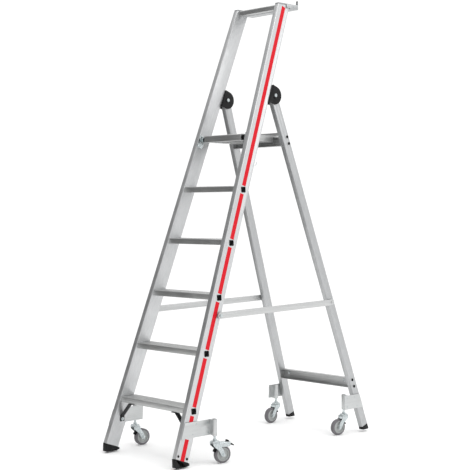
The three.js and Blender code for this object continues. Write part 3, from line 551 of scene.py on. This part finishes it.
rivet = button("rivet_pattern", radius=3.2, height=1.3, dimple=1.0)
shoe_pin = button("shoe_pin_pattern", radius=5.2, height=1.8, dimple=2.0, foot=2.0)
leg_plug = button("leg_plug_pattern", radius=6.6, height=2.2, dimple=2.6)

# %% [markdown]
# The places below are given by their Y and height, in millimetres, on the outer faces of the stiles and
# legs. The bracket rivets stand further out, on the bracket's plate.

# %% Rivets and plugs on the sides
PLATE = 4.4  # the bracket's plate and its clearance
SIDE_FIXINGS = [
    ("shoe_pin", shoe_pin, STILE, 0, "front_frame", plug_nylon, "black_plastic", [(29.4, 55), (77, 37)]),
    ("bracket_rivet_front", rivet, STILE, PLATE, "front_frame", zinc, "zinc_steel",
     [(112, 136), (133, 176), (196, 176), (199, 133)]),
    ("bracket_rivet_rear", rivet, LEG, PLATE, "rear_frame", zinc, "zinc_steel",
     [(1156, 176), (1172, 134), (1098, 176), (1098, 134)]),
    ("leg_plug_upper", leg_plug, LEG, 0, "rear_frame", plug_nylon, "black_plastic",
     [(759, 1417), (769, 1387)]),
    ("leg_plug_lower", leg_plug, LEG, 0, "rear_frame", plug_nylon, "black_plastic",
     [(1148, 259), (1159, 227)]),
]
for label, pattern, bar, proud, body, material, slot, spots in SIDE_FIXINGS:
    for number, (y, z) in enumerate(spots, 1):
        for side_name, side in SIDES:
            place = level_place(bar, side, y, z, proud)
            copy_to(pattern, f"{label}_{number}_{side_name}", place, body, material)
    print(label, "on each side", len(spots))

# %% [markdown]
# ## Braces, tray and crossbar fixings
# The foot of each brace is bolted to the stile: a hexagon head on a wide washer. The tray's sides are
# riveted to the stiles, and the lower crossbar shows one wide rivet near each end of its web.

# %% Fixings on the inner faces, the tray and the crossbars
washer = button("washer", radius=8.0, height=1.4, dimple=5.6)
bolt_head = disc("bolt_head", radius=4.6, low=1.0, high=4.4, sides=6)
brace_bolt = join("brace_bolt_pattern", washer, bolt_head)
round_edges(brace_bolt, 0.3)
brace_low, brace_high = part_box("tread_brace_right")
brace_y = (brace_low[1] + brace_high[1]) / 2 / MM
BRACE_FACE = 3.4  # the brace and its clearance
BOLT_RISE = 12  # of the bolt above the brace's lower end
tray_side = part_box("tool_tray")[1][0]
TRAY_RIVETS = ((0.835, 2.026), (0.792, 2.022))  # Y and Z, in metres
BAR_WALL = 3
BAR_RIVET_X, BAR_RIVET_Z = 0.183, 0.251  # metres
web_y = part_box("crossbar_lower")[1][1] - BAR_WALL * MM
facing_front = Matrix.Rotation(math.pi / 2, 4, "X")
for side_name, side in SIDES:
    place = level_place(STILE, side, brace_y, brace_low[2] / MM + BOLT_RISE, BRACE_FACE, inner=True)
    copy_to(brace_bolt, f"brace_bolt_{side_name}", place, "front_frame", zinc)
    sideways = Matrix.Rotation(side * math.pi / 2, 4, "Y")
    for number, (y, z) in enumerate(TRAY_RIVETS, 1):
        place = Matrix.Translation((side * tray_side, y, z)) @ sideways
        copy_to(rivet, f"tray_rivet_{number}_{side_name}", place, "front_frame", zinc)
    place = Matrix.Translation((side * BAR_RIVET_X, web_y, BAR_RIVET_Z)) @ facing_front
    copy_to(leg_plug, f"crossbar_rivet_{side_name}", place, "rear_frame", zinc)
print("brace bolts at y", round(brace_y, 1))

# %% [markdown]
# ## Platform clips
# A black nylon clip snaps over the pivot rod at each end of the deck and stops it sliding. It is a short
# tube with a slot, so its section is a small plate spun most of the way round the rod.

# %% Clips on the pivot rod
rod_low, rod_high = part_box("platform_rod")
rod_y, rod_z = ((rod_low[i] + rod_high[i]) / 2 / MM for i in (1, 2))
deck_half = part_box("platform_deck")[1][0] / MM
CLIP_LENGTH = 12
CLIP_OUTER = 12.5
CLIP_WALL = 2.6
CLIP_CLEARANCE = 1.2  # between the clip and the deck
CLIP_SWEEP = 285  # degrees round the rod


def rod_clip(start):
    deselect_all()
    middle = ((start + CLIP_LENGTH / 2) * MM, rod_y * MM, (rod_z - CLIP_OUTER + CLIP_WALL / 2) * MM)
    bpy.ops.mesh.primitive_plane_add(size=1, location=middle)
    piece = bpy.context.object
    piece.rotation_euler = (math.pi / 2, 0, 0)
    piece.scale = (CLIP_LENGTH * MM, CLIP_WALL * MM, 1)
    settle(piece)
    bpy.ops.object.mode_set(mode="EDIT")
    bpy.ops.mesh.select_all(action="SELECT")
    bpy.ops.mesh.spin(
        steps=30, angle=math.radians(CLIP_SWEEP), center=(0, rod_y * MM, rod_z * MM), axis=(1, 0, 0),
        use_auto_merge=False)
    bpy.ops.mesh.select_all(action="SELECT")
    bpy.ops.mesh.normals_make_consistent(inside=False)
    bpy.ops.object.mode_set(mode="OBJECT")
    round_edges(piece, 0.5)
    smooth(piece)
    return piece


for side_name, side in SIDES:
    start = deck_half + CLIP_CLEARANCE if side > 0 else -deck_half - CLIP_CLEARANCE - CLIP_LENGTH
    clip = rod_clip(start)
    clip.name = f"rod_clip_{side_name}"
    finish(clip, "front_frame", plug_nylon)
print("rod at", round(rod_y, 1), round(rod_z, 1))

# %% [markdown]
# ## Cable hook
# A bent wire hook on the right stile's rear edge holds a scanner's cable. A wire keeps its thickness
# through a bend, so it is a curve with a round bevel, made a mesh before it rides the frame.

# %% Bend the wire hook
HOOK_WIRE = 1.3
HOOK_START = Vector((0.1745, 0.5345, 1.272))  # on the right stile's rear edge, in metres
HOOK_POINTS = [(0, -4, 0), (0, 12, 3), (2, 24, 8), (3, 30, 17), (3, 24, 22)]  # from there, in millimetres
deselect_all()
bpy.ops.curve.primitive_nurbs_path_add(location=(0, 0, 0))
hook = bpy.context.object
hook.name = "cable_hook"
path = hook.data.splines[0]
for point, offset in zip(path.points, HOOK_POINTS):
    point.co = (*(HOOK_START + Vector(offset) * MM), 1)
hook.data.bevel_depth = HOOK_WIRE * MM
hook.data.bevel_resolution = 3
hook.data.resolution_u = 6
hook.data.use_fill_caps = True
bpy.ops.object.convert(target="MESH")
smooth(hook, 60)
finish(hook, "front_frame", zinc)
print("hook faces", len(hook.data.polygons))

# %% [markdown]
# ## Castors
# A castor swivels about its stem, with the wheel trailing behind. Each is modelled about the swivel axis
# with the wheel trailing along Y, in millimetres, and then turned and moved to the place its joints give.

# %% Where each castor stands
CASTORS = ("front_right", "front_left", "rear_right", "rear_left")


def castor_place(name):
    swivel = Vector(joints[f"castor_{name}_swivel"]["pos_m"])
    axle = Vector(joints[f"castor_{name}_roll"]["pos_m"])
    turn = math.atan2(-(axle.x - swivel.x), axle.y - swivel.y)
    return Matrix.Translation((swivel.x, swivel.y, 0)) @ Matrix.Rotation(turn, 4, "Z")


first_swivel = Vector(joints["castor_front_right_swivel"]["pos_m"])
first_axle = Vector(joints["castor_front_right_roll"]["pos_m"])
TRAIL = (first_axle - first_swivel).xy.length / MM
AXLE = first_axle.z / MM  # the wheel's radius
print("trail", round(TRAIL, 2), "wheel radius", round(AXLE, 2))

# %% [markdown]
# ### Tyre
# The tyre is a solid rubber ring with rounded shoulders and a shallow band sunk into each side. Its
# section is a plate with bevelled corners, emptied of its face and spun right round the axle.

# %% Spin the tyre
WHEEL_WIDTH = 22
TYRE_THICK = 9
TYRE_SEAT = 0.4  # between the tyre and the rim
BAND_EDGE = 1.2  # of the sidewall left outside the band
BAND_SLANT = 0.5
BAND_DEPTH = 0.6
ROUND_STEPS = 72


def ring(name, half_width, inner, outer, corner):
    deselect_all()
    bpy.ops.mesh.primitive_plane_add(size=1, location=(0, TRAIL * MM, (AXLE + (inner + outer) / 2) * MM))
    piece = bpy.context.object
    piece.name = name
    piece.rotation_euler = (math.pi / 2, 0, 0)
    piece.scale = (half_width * 2 * MM, (outer - inner) * MM, 1)
    settle(piece)
    bpy.ops.object.mode_set(mode="EDIT")
    top = (AXLE + outer) * MM
    pick(piece, "VERT", lambda co: co.z > top - MERGE)
    bpy.ops.mesh.bevel(offset=corner * MM, segments=5, affect="VERTICES")
    bpy.ops.mesh.select_all(action="SELECT")
    bpy.ops.mesh.delete(type="ONLY_FACE")
    bpy.ops.mesh.select_all(action="SELECT")
    bpy.ops.mesh.spin(
        steps=ROUND_STEPS, angle=2 * math.pi, center=(0, TRAIL * MM, AXLE * MM), axis=(1, 0, 0))
    bpy.ops.mesh.select_all(action="SELECT")
    bpy.ops.mesh.remove_doubles(threshold=MERGE)
    bpy.ops.mesh.normals_make_consistent(inside=False)
    bpy.ops.object.mode_set(mode="OBJECT")
    return piece


tyre = ring("tyre_pattern", WHEEL_WIDTH / 2, AXLE - TYRE_THICK + TYRE_SEAT, AXLE, corner=5)
bpy.ops.object.mode_set(mode="EDIT")
pick(tyre, "FACE", lambda centre, normal: abs(normal.x) > 0.999)
bpy.ops.mesh.inset(thickness=BAND_EDGE * MM, depth=0)
bpy.ops.mesh.inset(thickness=BAND_SLANT * MM, depth=-BAND_DEPTH * MM)
bpy.ops.object.mode_set(mode="OBJECT")
smooth(tyre, 40)
print("tyre faces", len(tyre.data.polygons))

# %% [markdown]
# ### Hub
# The hub is moulded with a rim, a thin web and a boss, and low ribs stiffen the web. Each round part is
# spun as the tyre was, and a rib is a cube with rounded edges, turned about the axle to its place.

# %% Spin the hub and set its ribs
RIM_OUTER = AXLE - TYRE_THICK
RIM_WALL = 3
BOSS = 9
BORE = 4.5
HUB_HALF = 12.5  # half the boss's length
WEB = 5.5  # half the web's thickness
WEB_END = 2.5  # from the rim's outer face, inside its wall
RIBS = 6
RIB_HEIGHT = 1.2
RIB_HALF = 1.6  # half a rib's thickness
RIB_END = 2.4
LAP = 1  # of the web and the ribs into the boss


def about_axle(degrees):
    centre = Matrix.Translation((0, TRAIL * MM, AXLE * MM))
    return centre @ Matrix.Rotation(math.radians(degrees), 4, "X") @ centre.inverted()


def hub_rib(number):
    reach = WEB + RIB_HEIGHT
    low = (-reach, TRAIL + BOSS - LAP, AXLE - RIB_HALF)
    high = (reach, TRAIL + RIM_OUTER - RIB_END, AXLE + RIB_HALF)
    piece = box("hub_rib", low, high)
    round_edges(piece, 0.8)
    piece.data.transform(about_axle(number * 360 / RIBS))
    return piece


def wheel_hub():
    rim = ring("hub_rim", WHEEL_WIDTH / 2, RIM_OUTER - RIM_WALL, RIM_OUTER, corner=0.6)
    web = ring("hub_web", WEB, BOSS - LAP, RIM_OUTER - WEB_END, corner=0.3)
    boss = ring("hub_boss", HUB_HALF, BORE, BOSS, corner=1.0)
    return join("hub_pattern", rim, web, boss, *(hub_rib(number) for number in range(RIBS)))


hub = wheel_hub()
smooth(hub, 35)
print("hub faces", len(hub.data.polygons))

# %% [markdown]
# ### Fork
# The fork is pressed from steel sheet: a round crown with two legs that narrow to rounded ears at the
# axle. A leg is a plate that is extruded down and back towards the axle, has its far corners bevelled
# round, and gets its thickness from Solidify. The crown's rolled edge comes from a bevel.

# %% Press the fork
FORK_CLEARANCE = 1.2  # between the hub and a leg
FORK_INNER = HUB_HALF + FORK_CLEARANCE
FORK_SHEET = 2.5
FORK_OUTER = FORK_INNER + FORK_SHEET
CROWN_LOW = 87
CROWN_TOP = 91
CROWN = 20  # its radius
NECK_HEIGHT = 12  # of the plate that a leg starts as
NECK_LENGTH = 34
NECK_Y = 2  # its middle, behind the swivel axis
BEND_DROP = 0.55  # of the way from the plate to the axle, where a leg narrows
BEND_TRAIL = 0.62  # share of the trail reached there
EAR_TRAIL = 0.38  # and the rest of it
EAR_DROP = 9  # below the axle
EAR_ROUND = 7.5
NECK_ROUND = 6
NEAR = 0.1 * MM  # tolerance for picking by height


def fork_leg(side):
    deselect_all()
    middle = (side * FORK_OUTER * MM, NECK_Y * MM, (CROWN_TOP - NECK_HEIGHT / 2) * MM)
    bpy.ops.mesh.primitive_plane_add(size=1, location=middle)
    piece = bpy.context.object
    piece.rotation_euler = (0, math.pi / 2, 0)
    piece.scale = (NECK_HEIGHT * MM, NECK_LENGTH * MM, 1)
    settle(piece)
    bpy.ops.object.mode_set(mode="EDIT")
    low = (CROWN_TOP - NECK_HEIGHT) * MM
    pick(piece, "EDGE", lambda a, b: max(a.z, b.z) < low + NEAR)
    mid_drop = (CROWN_TOP - NECK_HEIGHT - AXLE) * BEND_DROP
    bpy.ops.mesh.extrude_edges_move(
        TRANSFORM_OT_translate={"value": (0, TRAIL * BEND_TRAIL * MM, -mid_drop * MM)})
    bpy.ops.transform.resize(value=(1, 0.72, 1))
    rest = CROWN_TOP - NECK_HEIGHT - mid_drop - AXLE + EAR_DROP
    bpy.ops.mesh.extrude_edges_move(
        TRANSFORM_OT_translate={"value": (0, (TRAIL * EAR_TRAIL - NECK_Y) * MM, -rest * MM)})
    bpy.ops.transform.resize(value=(1, 0.74, 1))
    pick(piece, "VERT", lambda co: co.z < (AXLE - EAR_DROP + 1) * MM)
    bpy.ops.mesh.bevel(offset=EAR_ROUND * MM, segments=6, affect="VERTICES")
    pick(piece, "VERT", lambda co: abs(co.z - low) < NEAR)
    bpy.ops.mesh.bevel(offset=NECK_ROUND * MM, segments=4, affect="VERTICES")
    bpy.ops.mesh.select_all(action="SELECT")
    bpy.ops.mesh.normals_make_consistent(inside=False)
    bpy.ops.object.mode_set(mode="OBJECT")
    wall = piece.modifiers.new("sheet", "SOLIDIFY")
    wall.thickness = FORK_SHEET * MM
    only(piece)
    facing = piece.data.polygons[0].normal.x * side
    wall.offset = -1 if facing > 0 else 1
    bpy.ops.object.modifier_apply(modifier=wall.name)
    round_edges(piece, 0.5)
    return piece


BRIDGE_HALF = CROWN * 0.7  # its front edge is this far ahead of the swivel axis
BRIDGE_REAR = 5  # how much further it reaches behind


def crown_plate():
    piece = disc("crown", CROWN, CROWN_LOW, CROWN_TOP, sides=56)
    round_edges(piece, 1.5, segments=3)
    low = (-FORK_OUTER, -BRIDGE_HALF, CROWN_LOW + 0.3)
    high = (FORK_OUTER, BRIDGE_HALF + BRIDGE_REAR, CROWN_TOP - 0.2)
    bridge = box("bridge", low, high)
    round_edges(bridge, 1.8, segments=3)
    return join("crown", piece, bridge)


SHANK = 4  # radius of the axle bolt
HEAD = 6.8
HEAD_HIGH = 4


def axle_bolt():
    shank = disc("axle", SHANK, -FORK_OUTER - 1, FORK_OUTER + 1, (0, TRAIL, AXLE), "X", 32)
    heads = []
    for side in (1, -1):
        low, high = sorted((side * FORK_OUTER, side * (FORK_OUTER + HEAD_HIGH)))
        head = disc("axle_head", HEAD, low, high, (0, TRAIL, AXLE), "X", 6)
        round_edges(head, 0.6)
        heads.append(head)
    return join("axle", shank, *heads)


fork = join("fork_pattern", crown_plate(), fork_leg(1), fork_leg(-1), axle_bolt())
smooth(fork, 35)
print("fork faces", len(fork.data.polygons))

# %% [markdown]
# ### Thread guard
# A black nylon guard sits in the front of the fork, just clear of the tyre, and keeps thread and fingers
# out. Its section is a small plate spun part of the way round the axle.

# %% Spin the guard
GUARD_CLEARANCE = 2.5
GUARD_WALL = 2
GUARD_GAP = 0.4  # between the guard and each leg of the fork
GUARD_START = 100  # degrees round the axle from straight back, up and forwards
GUARD_SWEEP = 62


def thread_guard():
    deselect_all()
    reach = AXLE + GUARD_CLEARANCE + GUARD_WALL / 2
    bpy.ops.mesh.primitive_plane_add(size=1, location=(0, (TRAIL + reach) * MM, AXLE * MM))
    piece = bpy.context.object
    piece.scale = ((FORK_INNER - GUARD_GAP) * 2 * MM, GUARD_WALL * MM, 1)
    settle(piece)
    piece.data.transform(about_axle(GUARD_START))
    bpy.ops.object.mode_set(mode="EDIT")
    bpy.ops.mesh.select_all(action="SELECT")
    bpy.ops.mesh.spin(
        steps=16, angle=-math.radians(GUARD_SWEEP), center=(0, TRAIL * MM, AXLE * MM), axis=(1, 0, 0),
        use_auto_merge=False)
    bpy.ops.mesh.select_all(action="SELECT")
    bpy.ops.mesh.normals_make_consistent(inside=False)
    bpy.ops.object.mode_set(mode="OBJECT")
    piece.name = "guard_pattern"
    round_edges(piece, 0.5)
    smooth(piece)
    return piece


guard = thread_guard()
guard_heights = [vertex.co.z / MM for vertex in guard.data.vertices]
print("guard heights", round(min(guard_heights)), round(max(guard_heights)))

# %% [markdown]
# ### Stem and races
# Above the fork sit the swivel race, a hexagon nut and the round stem that slides in the spring tube.
# They are stacked cylinders with rounded edges.

# %% Stem with its race
RACE_LOW = 91.5
RACE_HIGH = 97.5
RACE_RIM = 5
RACE_RISE = 1.5
NUT = 9.5
NUT_LOW, NUT_HIGH = RACE_HIGH + 1, RACE_HIGH + 8
ROD = 5.5
COLLAR = 7.6
COLLAR_HIGH = 4


def stem_and_race():
    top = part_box("castor_stem_front_right")[1][2] / MM
    race = disc("race", CROWN, RACE_LOW, RACE_HIGH, sides=56)
    bpy.ops.object.mode_set(mode="EDIT")
    pick(race, "FACE", lambda centre, normal: normal.z > 0.9)
    bpy.ops.mesh.inset(thickness=RACE_RIM * MM, depth=0)
    bpy.ops.mesh.inset(thickness=1 * MM, depth=RACE_RISE * MM)
    bpy.ops.object.mode_set(mode="OBJECT")
    round_edges(race, 1.2, segments=3)
    nut = disc("nut", NUT, NUT_LOW, NUT_HIGH, sides=6)
    round_edges(nut, 0.8)
    rod = disc("rod", ROD, NUT_LOW, top - COLLAR_HIGH / 2, sides=32)
    collar = disc("collar", COLLAR, top - COLLAR_HIGH, top, sides=32)
    round_edges(collar, 0.6)
    return join("stem_pattern", race, nut, rod, collar)


stem = stem_and_race()
smooth(stem, 35)
print("stem faces", len(stem.data.polygons))

# %% [markdown]
# ### Brake hood and pedal
# The front right castor has a pressed hood over its wheel that carries the pedal. The hood is a box with
# its lower faces removed, rounded and given a wall; the pedal is a tapered tongue with a ribbed face.

# %% Hood and pedal
pedal_joint = Vector(joints["brake_pedal_tilt"]["pos_m"])
PEDAL_Y = (pedal_joint.xy - first_swivel.xy).length / MM
PEDAL_Z = pedal_joint.z / MM
HOOD_REACH = 7  # past the pedal's pivot
HOOD_DROP = 17  # of its sides below the crown
HOOD_INSET = 0.2  # from the fork's sides, so that no two faces lie in one plane
HOOD_SINK = 0.1  # and below the crown's top
HOOD_ROUND = 4
HOOD_CORNER = 8
PIN = 2.5
PIN_PROUD = 0.5
EYE = 4.2
EYE_PROUD = 1.2
EYE_AHEAD = 22  # of the pedal's pivot


def brake_hood():
    start, end = BRIDGE_HALF, PEDAL_Y + HOOD_REACH
    half = FORK_OUTER - HOOD_INSET
    piece = box("hood", (-half, start, CROWN_LOW - HOOD_DROP), (half, end, CROWN_TOP - HOOD_SINK))
    bpy.ops.object.mode_set(mode="EDIT")
    pick(piece, "FACE", lambda centre, normal: normal.z < -0.9 or normal.y > 0.9 or normal.y < -0.9)
    bpy.ops.mesh.delete(type="FACE")
    pick(piece, "EDGE", lambda a, b: min(a.z, b.z) > (CROWN_TOP - 1) * MM and abs(a.y - b.y) > 5 * MM)
    bpy.ops.mesh.bevel(offset=HOOD_ROUND * MM, segments=4, affect="EDGES")
    pick(piece, "VERT", lambda co: co.z < (CROWN_LOW - HOOD_DROP + 1) * MM and co.y > (end - 1) * MM)
    bpy.ops.mesh.bevel(offset=HOOD_CORNER * MM, segments=4, affect="VERTICES")
    bpy.ops.mesh.select_all(action="SELECT")
    bpy.ops.mesh.normals_make_consistent(inside=False)
    bpy.ops.object.mode_set(mode="OBJECT")
    only(piece)
    wall = piece.modifiers.new("sheet", "SOLIDIFY")
    wall.thickness = FORK_SHEET * MM
    top = max(piece.data.polygons, key=lambda face: face.center.z)
    wall.offset = -1 if top.normal.z > 0 else 1
    bpy.ops.object.modifier_apply(modifier=wall.name)
    round_edges(piece, 0.5)
    pin_end = FORK_OUTER + PIN_PROUD
    pin = disc("pin", PIN, -pin_end, pin_end, (0, PEDAL_Y, PEDAL_Z), "X", 24)
    eye_place = (0, PEDAL_Y - EYE_AHEAD, PEDAL_Z - 1)
    eye = disc("eye", EYE, FORK_OUTER - HOOD_INSET, FORK_OUTER + EYE_PROUD, eye_place, "X", 24)
    round_edges(eye, 0.4)
    hood = join("hood_pattern", piece, pin, eye)
    smooth(hood, 35)
    return hood


PEDAL_GAP = 0.5  # between the pedal and each side of the fork
PIVOT_DEEP = 4  # of the pedal's middle, each way from its pivot
PIVOT_HIGH = 5
TONGUE = [(10, 4, 1, 0.8), (12, 6, 0.9, 0.6)]  # back, down, and the shares of width and height kept
HEEL_RISE = 9
GRIPS = 4
GRIP_START = 8  # behind the pivot
GRIP_PITCH = 4
GRIP_THICK = 1.4
GRIP_WIDE = 0.8  # as a share of the pedal's width
GRIP_HIGH = 2.6  # above the pivot where the tongue starts
TONGUE_FALL = 0.5  # of its top, for each unit of length


def brake_pedal_tongue():
    half = FORK_INNER - PEDAL_GAP
    low = (-half, PEDAL_Y - PIVOT_DEEP, PEDAL_Z - PIVOT_HIGH)
    piece = box("pedal", low, (half, PEDAL_Y + PIVOT_DEEP, PEDAL_Z + PIVOT_HIGH))
    bpy.ops.object.mode_set(mode="EDIT")
    pick(piece, "FACE", lambda centre, normal: normal.y > 0.9)
    for back, down, wide, high in TONGUE:
        bpy.ops.mesh.extrude_region_move(TRANSFORM_OT_translate={"value": (0, back * MM, -down * MM)})
        bpy.ops.transform.resize(value=(wide, 1, high))
    pick(piece, "FACE", lambda centre, normal: normal.z > 0.9 and centre.y < (PEDAL_Y + PIVOT_DEEP) * MM)
    bpy.ops.mesh.extrude_region_move(TRANSFORM_OT_translate={"value": (0, -1 * MM, HEEL_RISE * MM)})
    bpy.ops.transform.resize(value=(0.9, 0.6, 1))
    bpy.ops.object.mode_set(mode="OBJECT")
    round_edges(piece, 1.2, segments=3)
    ribs = []
    reach = half * GRIP_WIDE
    for number in range(GRIPS):
        y = PEDAL_Y + GRIP_START + number * GRIP_PITCH
        z = PEDAL_Z + GRIP_HIGH - (y - PEDAL_Y - PIVOT_DEEP) * TONGUE_FALL
        rib = box("rib", (-reach, y, z - 2), (reach, y + GRIP_THICK, z + 1))
        round_edges(rib, 0.3)
        ribs.append(rib)
    tongue = join("pedal_pattern", piece, *ribs)
    smooth(tongue, 35)
    return tongue


hood = brake_hood()
pedal = brake_pedal_tongue()
print("pedal pivot", round(PEDAL_Y, 1), round(PEDAL_Z, 1))

# %% Place the castors
for name in CASTORS:
    place = castor_place(name)
    for pattern, part, body, material, slot in (
        (stem, "stem", "stem", zinc, "zinc_steel"),
        (fork, "fork", "fork", zinc, "zinc_steel"),
        (hub, "hub", "wheel", hub_plastic, "grey_plastic"),
        (tyre, "tyre", "wheel", tyre_rubber, "grey_rubber"),
    ):
        piece = copy_to(pattern, f"{part}_{name}", place, f"castor_{name}_{body}", material)
        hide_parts(f"castor_{part}_{name}")
    copy_to(guard, f"thread_guard_{name}", place, f"castor_{name}_fork", plug_nylon)
brake_place = castor_place("front_right")
copy_to(hood, "brake_hood", brake_place, "castor_front_right_fork", zinc)
tongue = copy_to(pedal, "brake_pedal_tongue", brake_place, "brake_pedal", black_nylon)
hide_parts("brake_pedal")
for pattern in (stem, fork, hub, tyre, hood, pedal, guard):
    bpy.data.objects.remove(pattern)
print("castors placed")

# %% [markdown]
# ## Tube caps
# A grey cap closes the top of each spring tube.

# %% Cap the spring tubes
tube_cap = button("tube_cap_pattern", radius=9.0, height=1.8, dimple=4.0)
for name in CASTORS:
    body = "front_frame" if name.startswith("front") else "rear_frame"
    swivel = joints[f"castor_{name}_swivel"]["pos_m"]
    place = Matrix.Translation((swivel[0], swivel[1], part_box(f"castor_bracket_{name}")[1][2]))
    copy_to(tube_cap, f"tube_cap_{name}", place, body, cap_plastic)
for pattern in (rivet, shoe_pin, leg_plug, tube_cap, brace_bolt):
    bpy.data.objects.remove(pattern)
print("tubes capped")

# %% [markdown]
# ## Floor, light and camera
# A plain pale floor, a white world and two broad soft lights give the even light of a product studio. The
# camera stands in front and to the right, near the height of the ladder's middle, and looks almost level.

# %% Floor
FLOOR_SIZE = 40
FLOOR_CENTRE = (18.8, 18.9, -0.0005)  # it ends just ahead and to the left, short of the dark flag
deselect_all()
bpy.ops.mesh.primitive_plane_add(size=FLOOR_SIZE, location=FLOOR_CENTRE)
floor = bpy.context.object
floor.name = "studio_floor"
floor_paint = new_material("pale_studio_floor", "#ffffff", 0.0, 1.0, Specular_IOR_Level=0.0)
floor.data.materials.append(floor_paint)

# %% [markdown]
# The walls of the studio are white all round but for a dark flag ahead and to the left. Metal shows what
# it reflects, so the flag is what makes the faces turned that way read as metal rather than as white
# paint. The Light Path node hides the flag from the camera, so the background is an even white.

# %% Light
FLAG = (-0.74, -0.67, 0.05)  # direction of the flag's middle
FLAG_START = 0.45  # cosine at which the white begins to fall off
FLAG_FULL = 0.92  # and at which it is all dark
FLAG_LEVEL = 0.16  # strength of the world on the flag
SKY_LEVEL = 1.08  # and everywhere else

world = bpy.data.worlds.new("studio")
world.use_nodes = True
direction = add_node(world, "ShaderNodeTexCoord")
aim = add_node(
    world, "ShaderNodeVectorMath", {"operation": "DOT_PRODUCT"}, {1: FLAG}, {0: (direction, "Generated")})
fall = add_node(
    world, "ShaderNodeMapRange",
    values={"From Min": FLAG_START, "From Max": FLAG_FULL, "To Min": SKY_LEVEL, "To Max": FLAG_LEVEL},
    links={"Value": (aim, "Value")})
seen = add_node(world, "ShaderNodeLightPath")
either = add_node(
    world, "ShaderNodeMath", {"operation": "MAXIMUM"},
    links={0: (fall, "Result"), 1: (seen, "Is Camera Ray")})
background = world.node_tree.nodes["Background"]
background.inputs["Color"].default_value = (1, 1, 1, 1)
world.node_tree.links.new(either.outputs["Value"], background.inputs["Strength"])
bpy.context.scene.world = world


def soft_light(name, place, target, size, power):
    deselect_all()
    bpy.ops.object.light_add(type="AREA", location=place)
    light = bpy.context.object
    light.name = name
    light.data.size = size
    light.data.energy = power
    aim = Vector(target) - Vector(place)
    light.rotation_euler = aim.to_track_quat("-Z", "Y").to_euler()


soft_light("key", place=(4.5, 2.0, 4.0), target=(0, 0.6, 0.9), size=3.0, power=50)
soft_light("top", place=(0, 0.5, 5.5), target=(0, 0.6, 0.0), size=4.0, power=75)
print("lights ready")

# %% Camera
YAW = math.radians(45.929)  # turned left from looking along Y
PITCH = math.radians(1.154)  # tipped down
ROLL = math.radians(-0.083)
FOCAL = 1143.62  # for a frame 470 wide
FRAME_WIDTH = 470
SENSOR = 36
CAMERA_PLACE = (3.80974, -3.09144, 1.07074)

deselect_all()
bpy.ops.object.camera_add(location=CAMERA_PLACE)
camera = bpy.context.object
forward = Vector((-math.sin(YAW) * math.cos(PITCH), math.cos(YAW) * math.cos(PITCH), -math.sin(PITCH)))
right = Vector((math.cos(YAW), math.sin(YAW), 0))
up = right.cross(forward)
rolled_right = right * math.cos(ROLL) + up * math.sin(ROLL)
rolled_up = up * math.cos(ROLL) - right * math.sin(ROLL)
camera.rotation_euler = Matrix((rolled_right, rolled_up, -forward)).transposed().to_euler()
camera.data.sensor_width = SENSOR
camera.data.lens = FOCAL * SENSOR / FRAME_WIDTH
bpy.context.scene.camera = camera
bpy.context.scene.view_settings.view_transform = "Standard"
print("lens", round(camera.data.lens, 1), "mm")
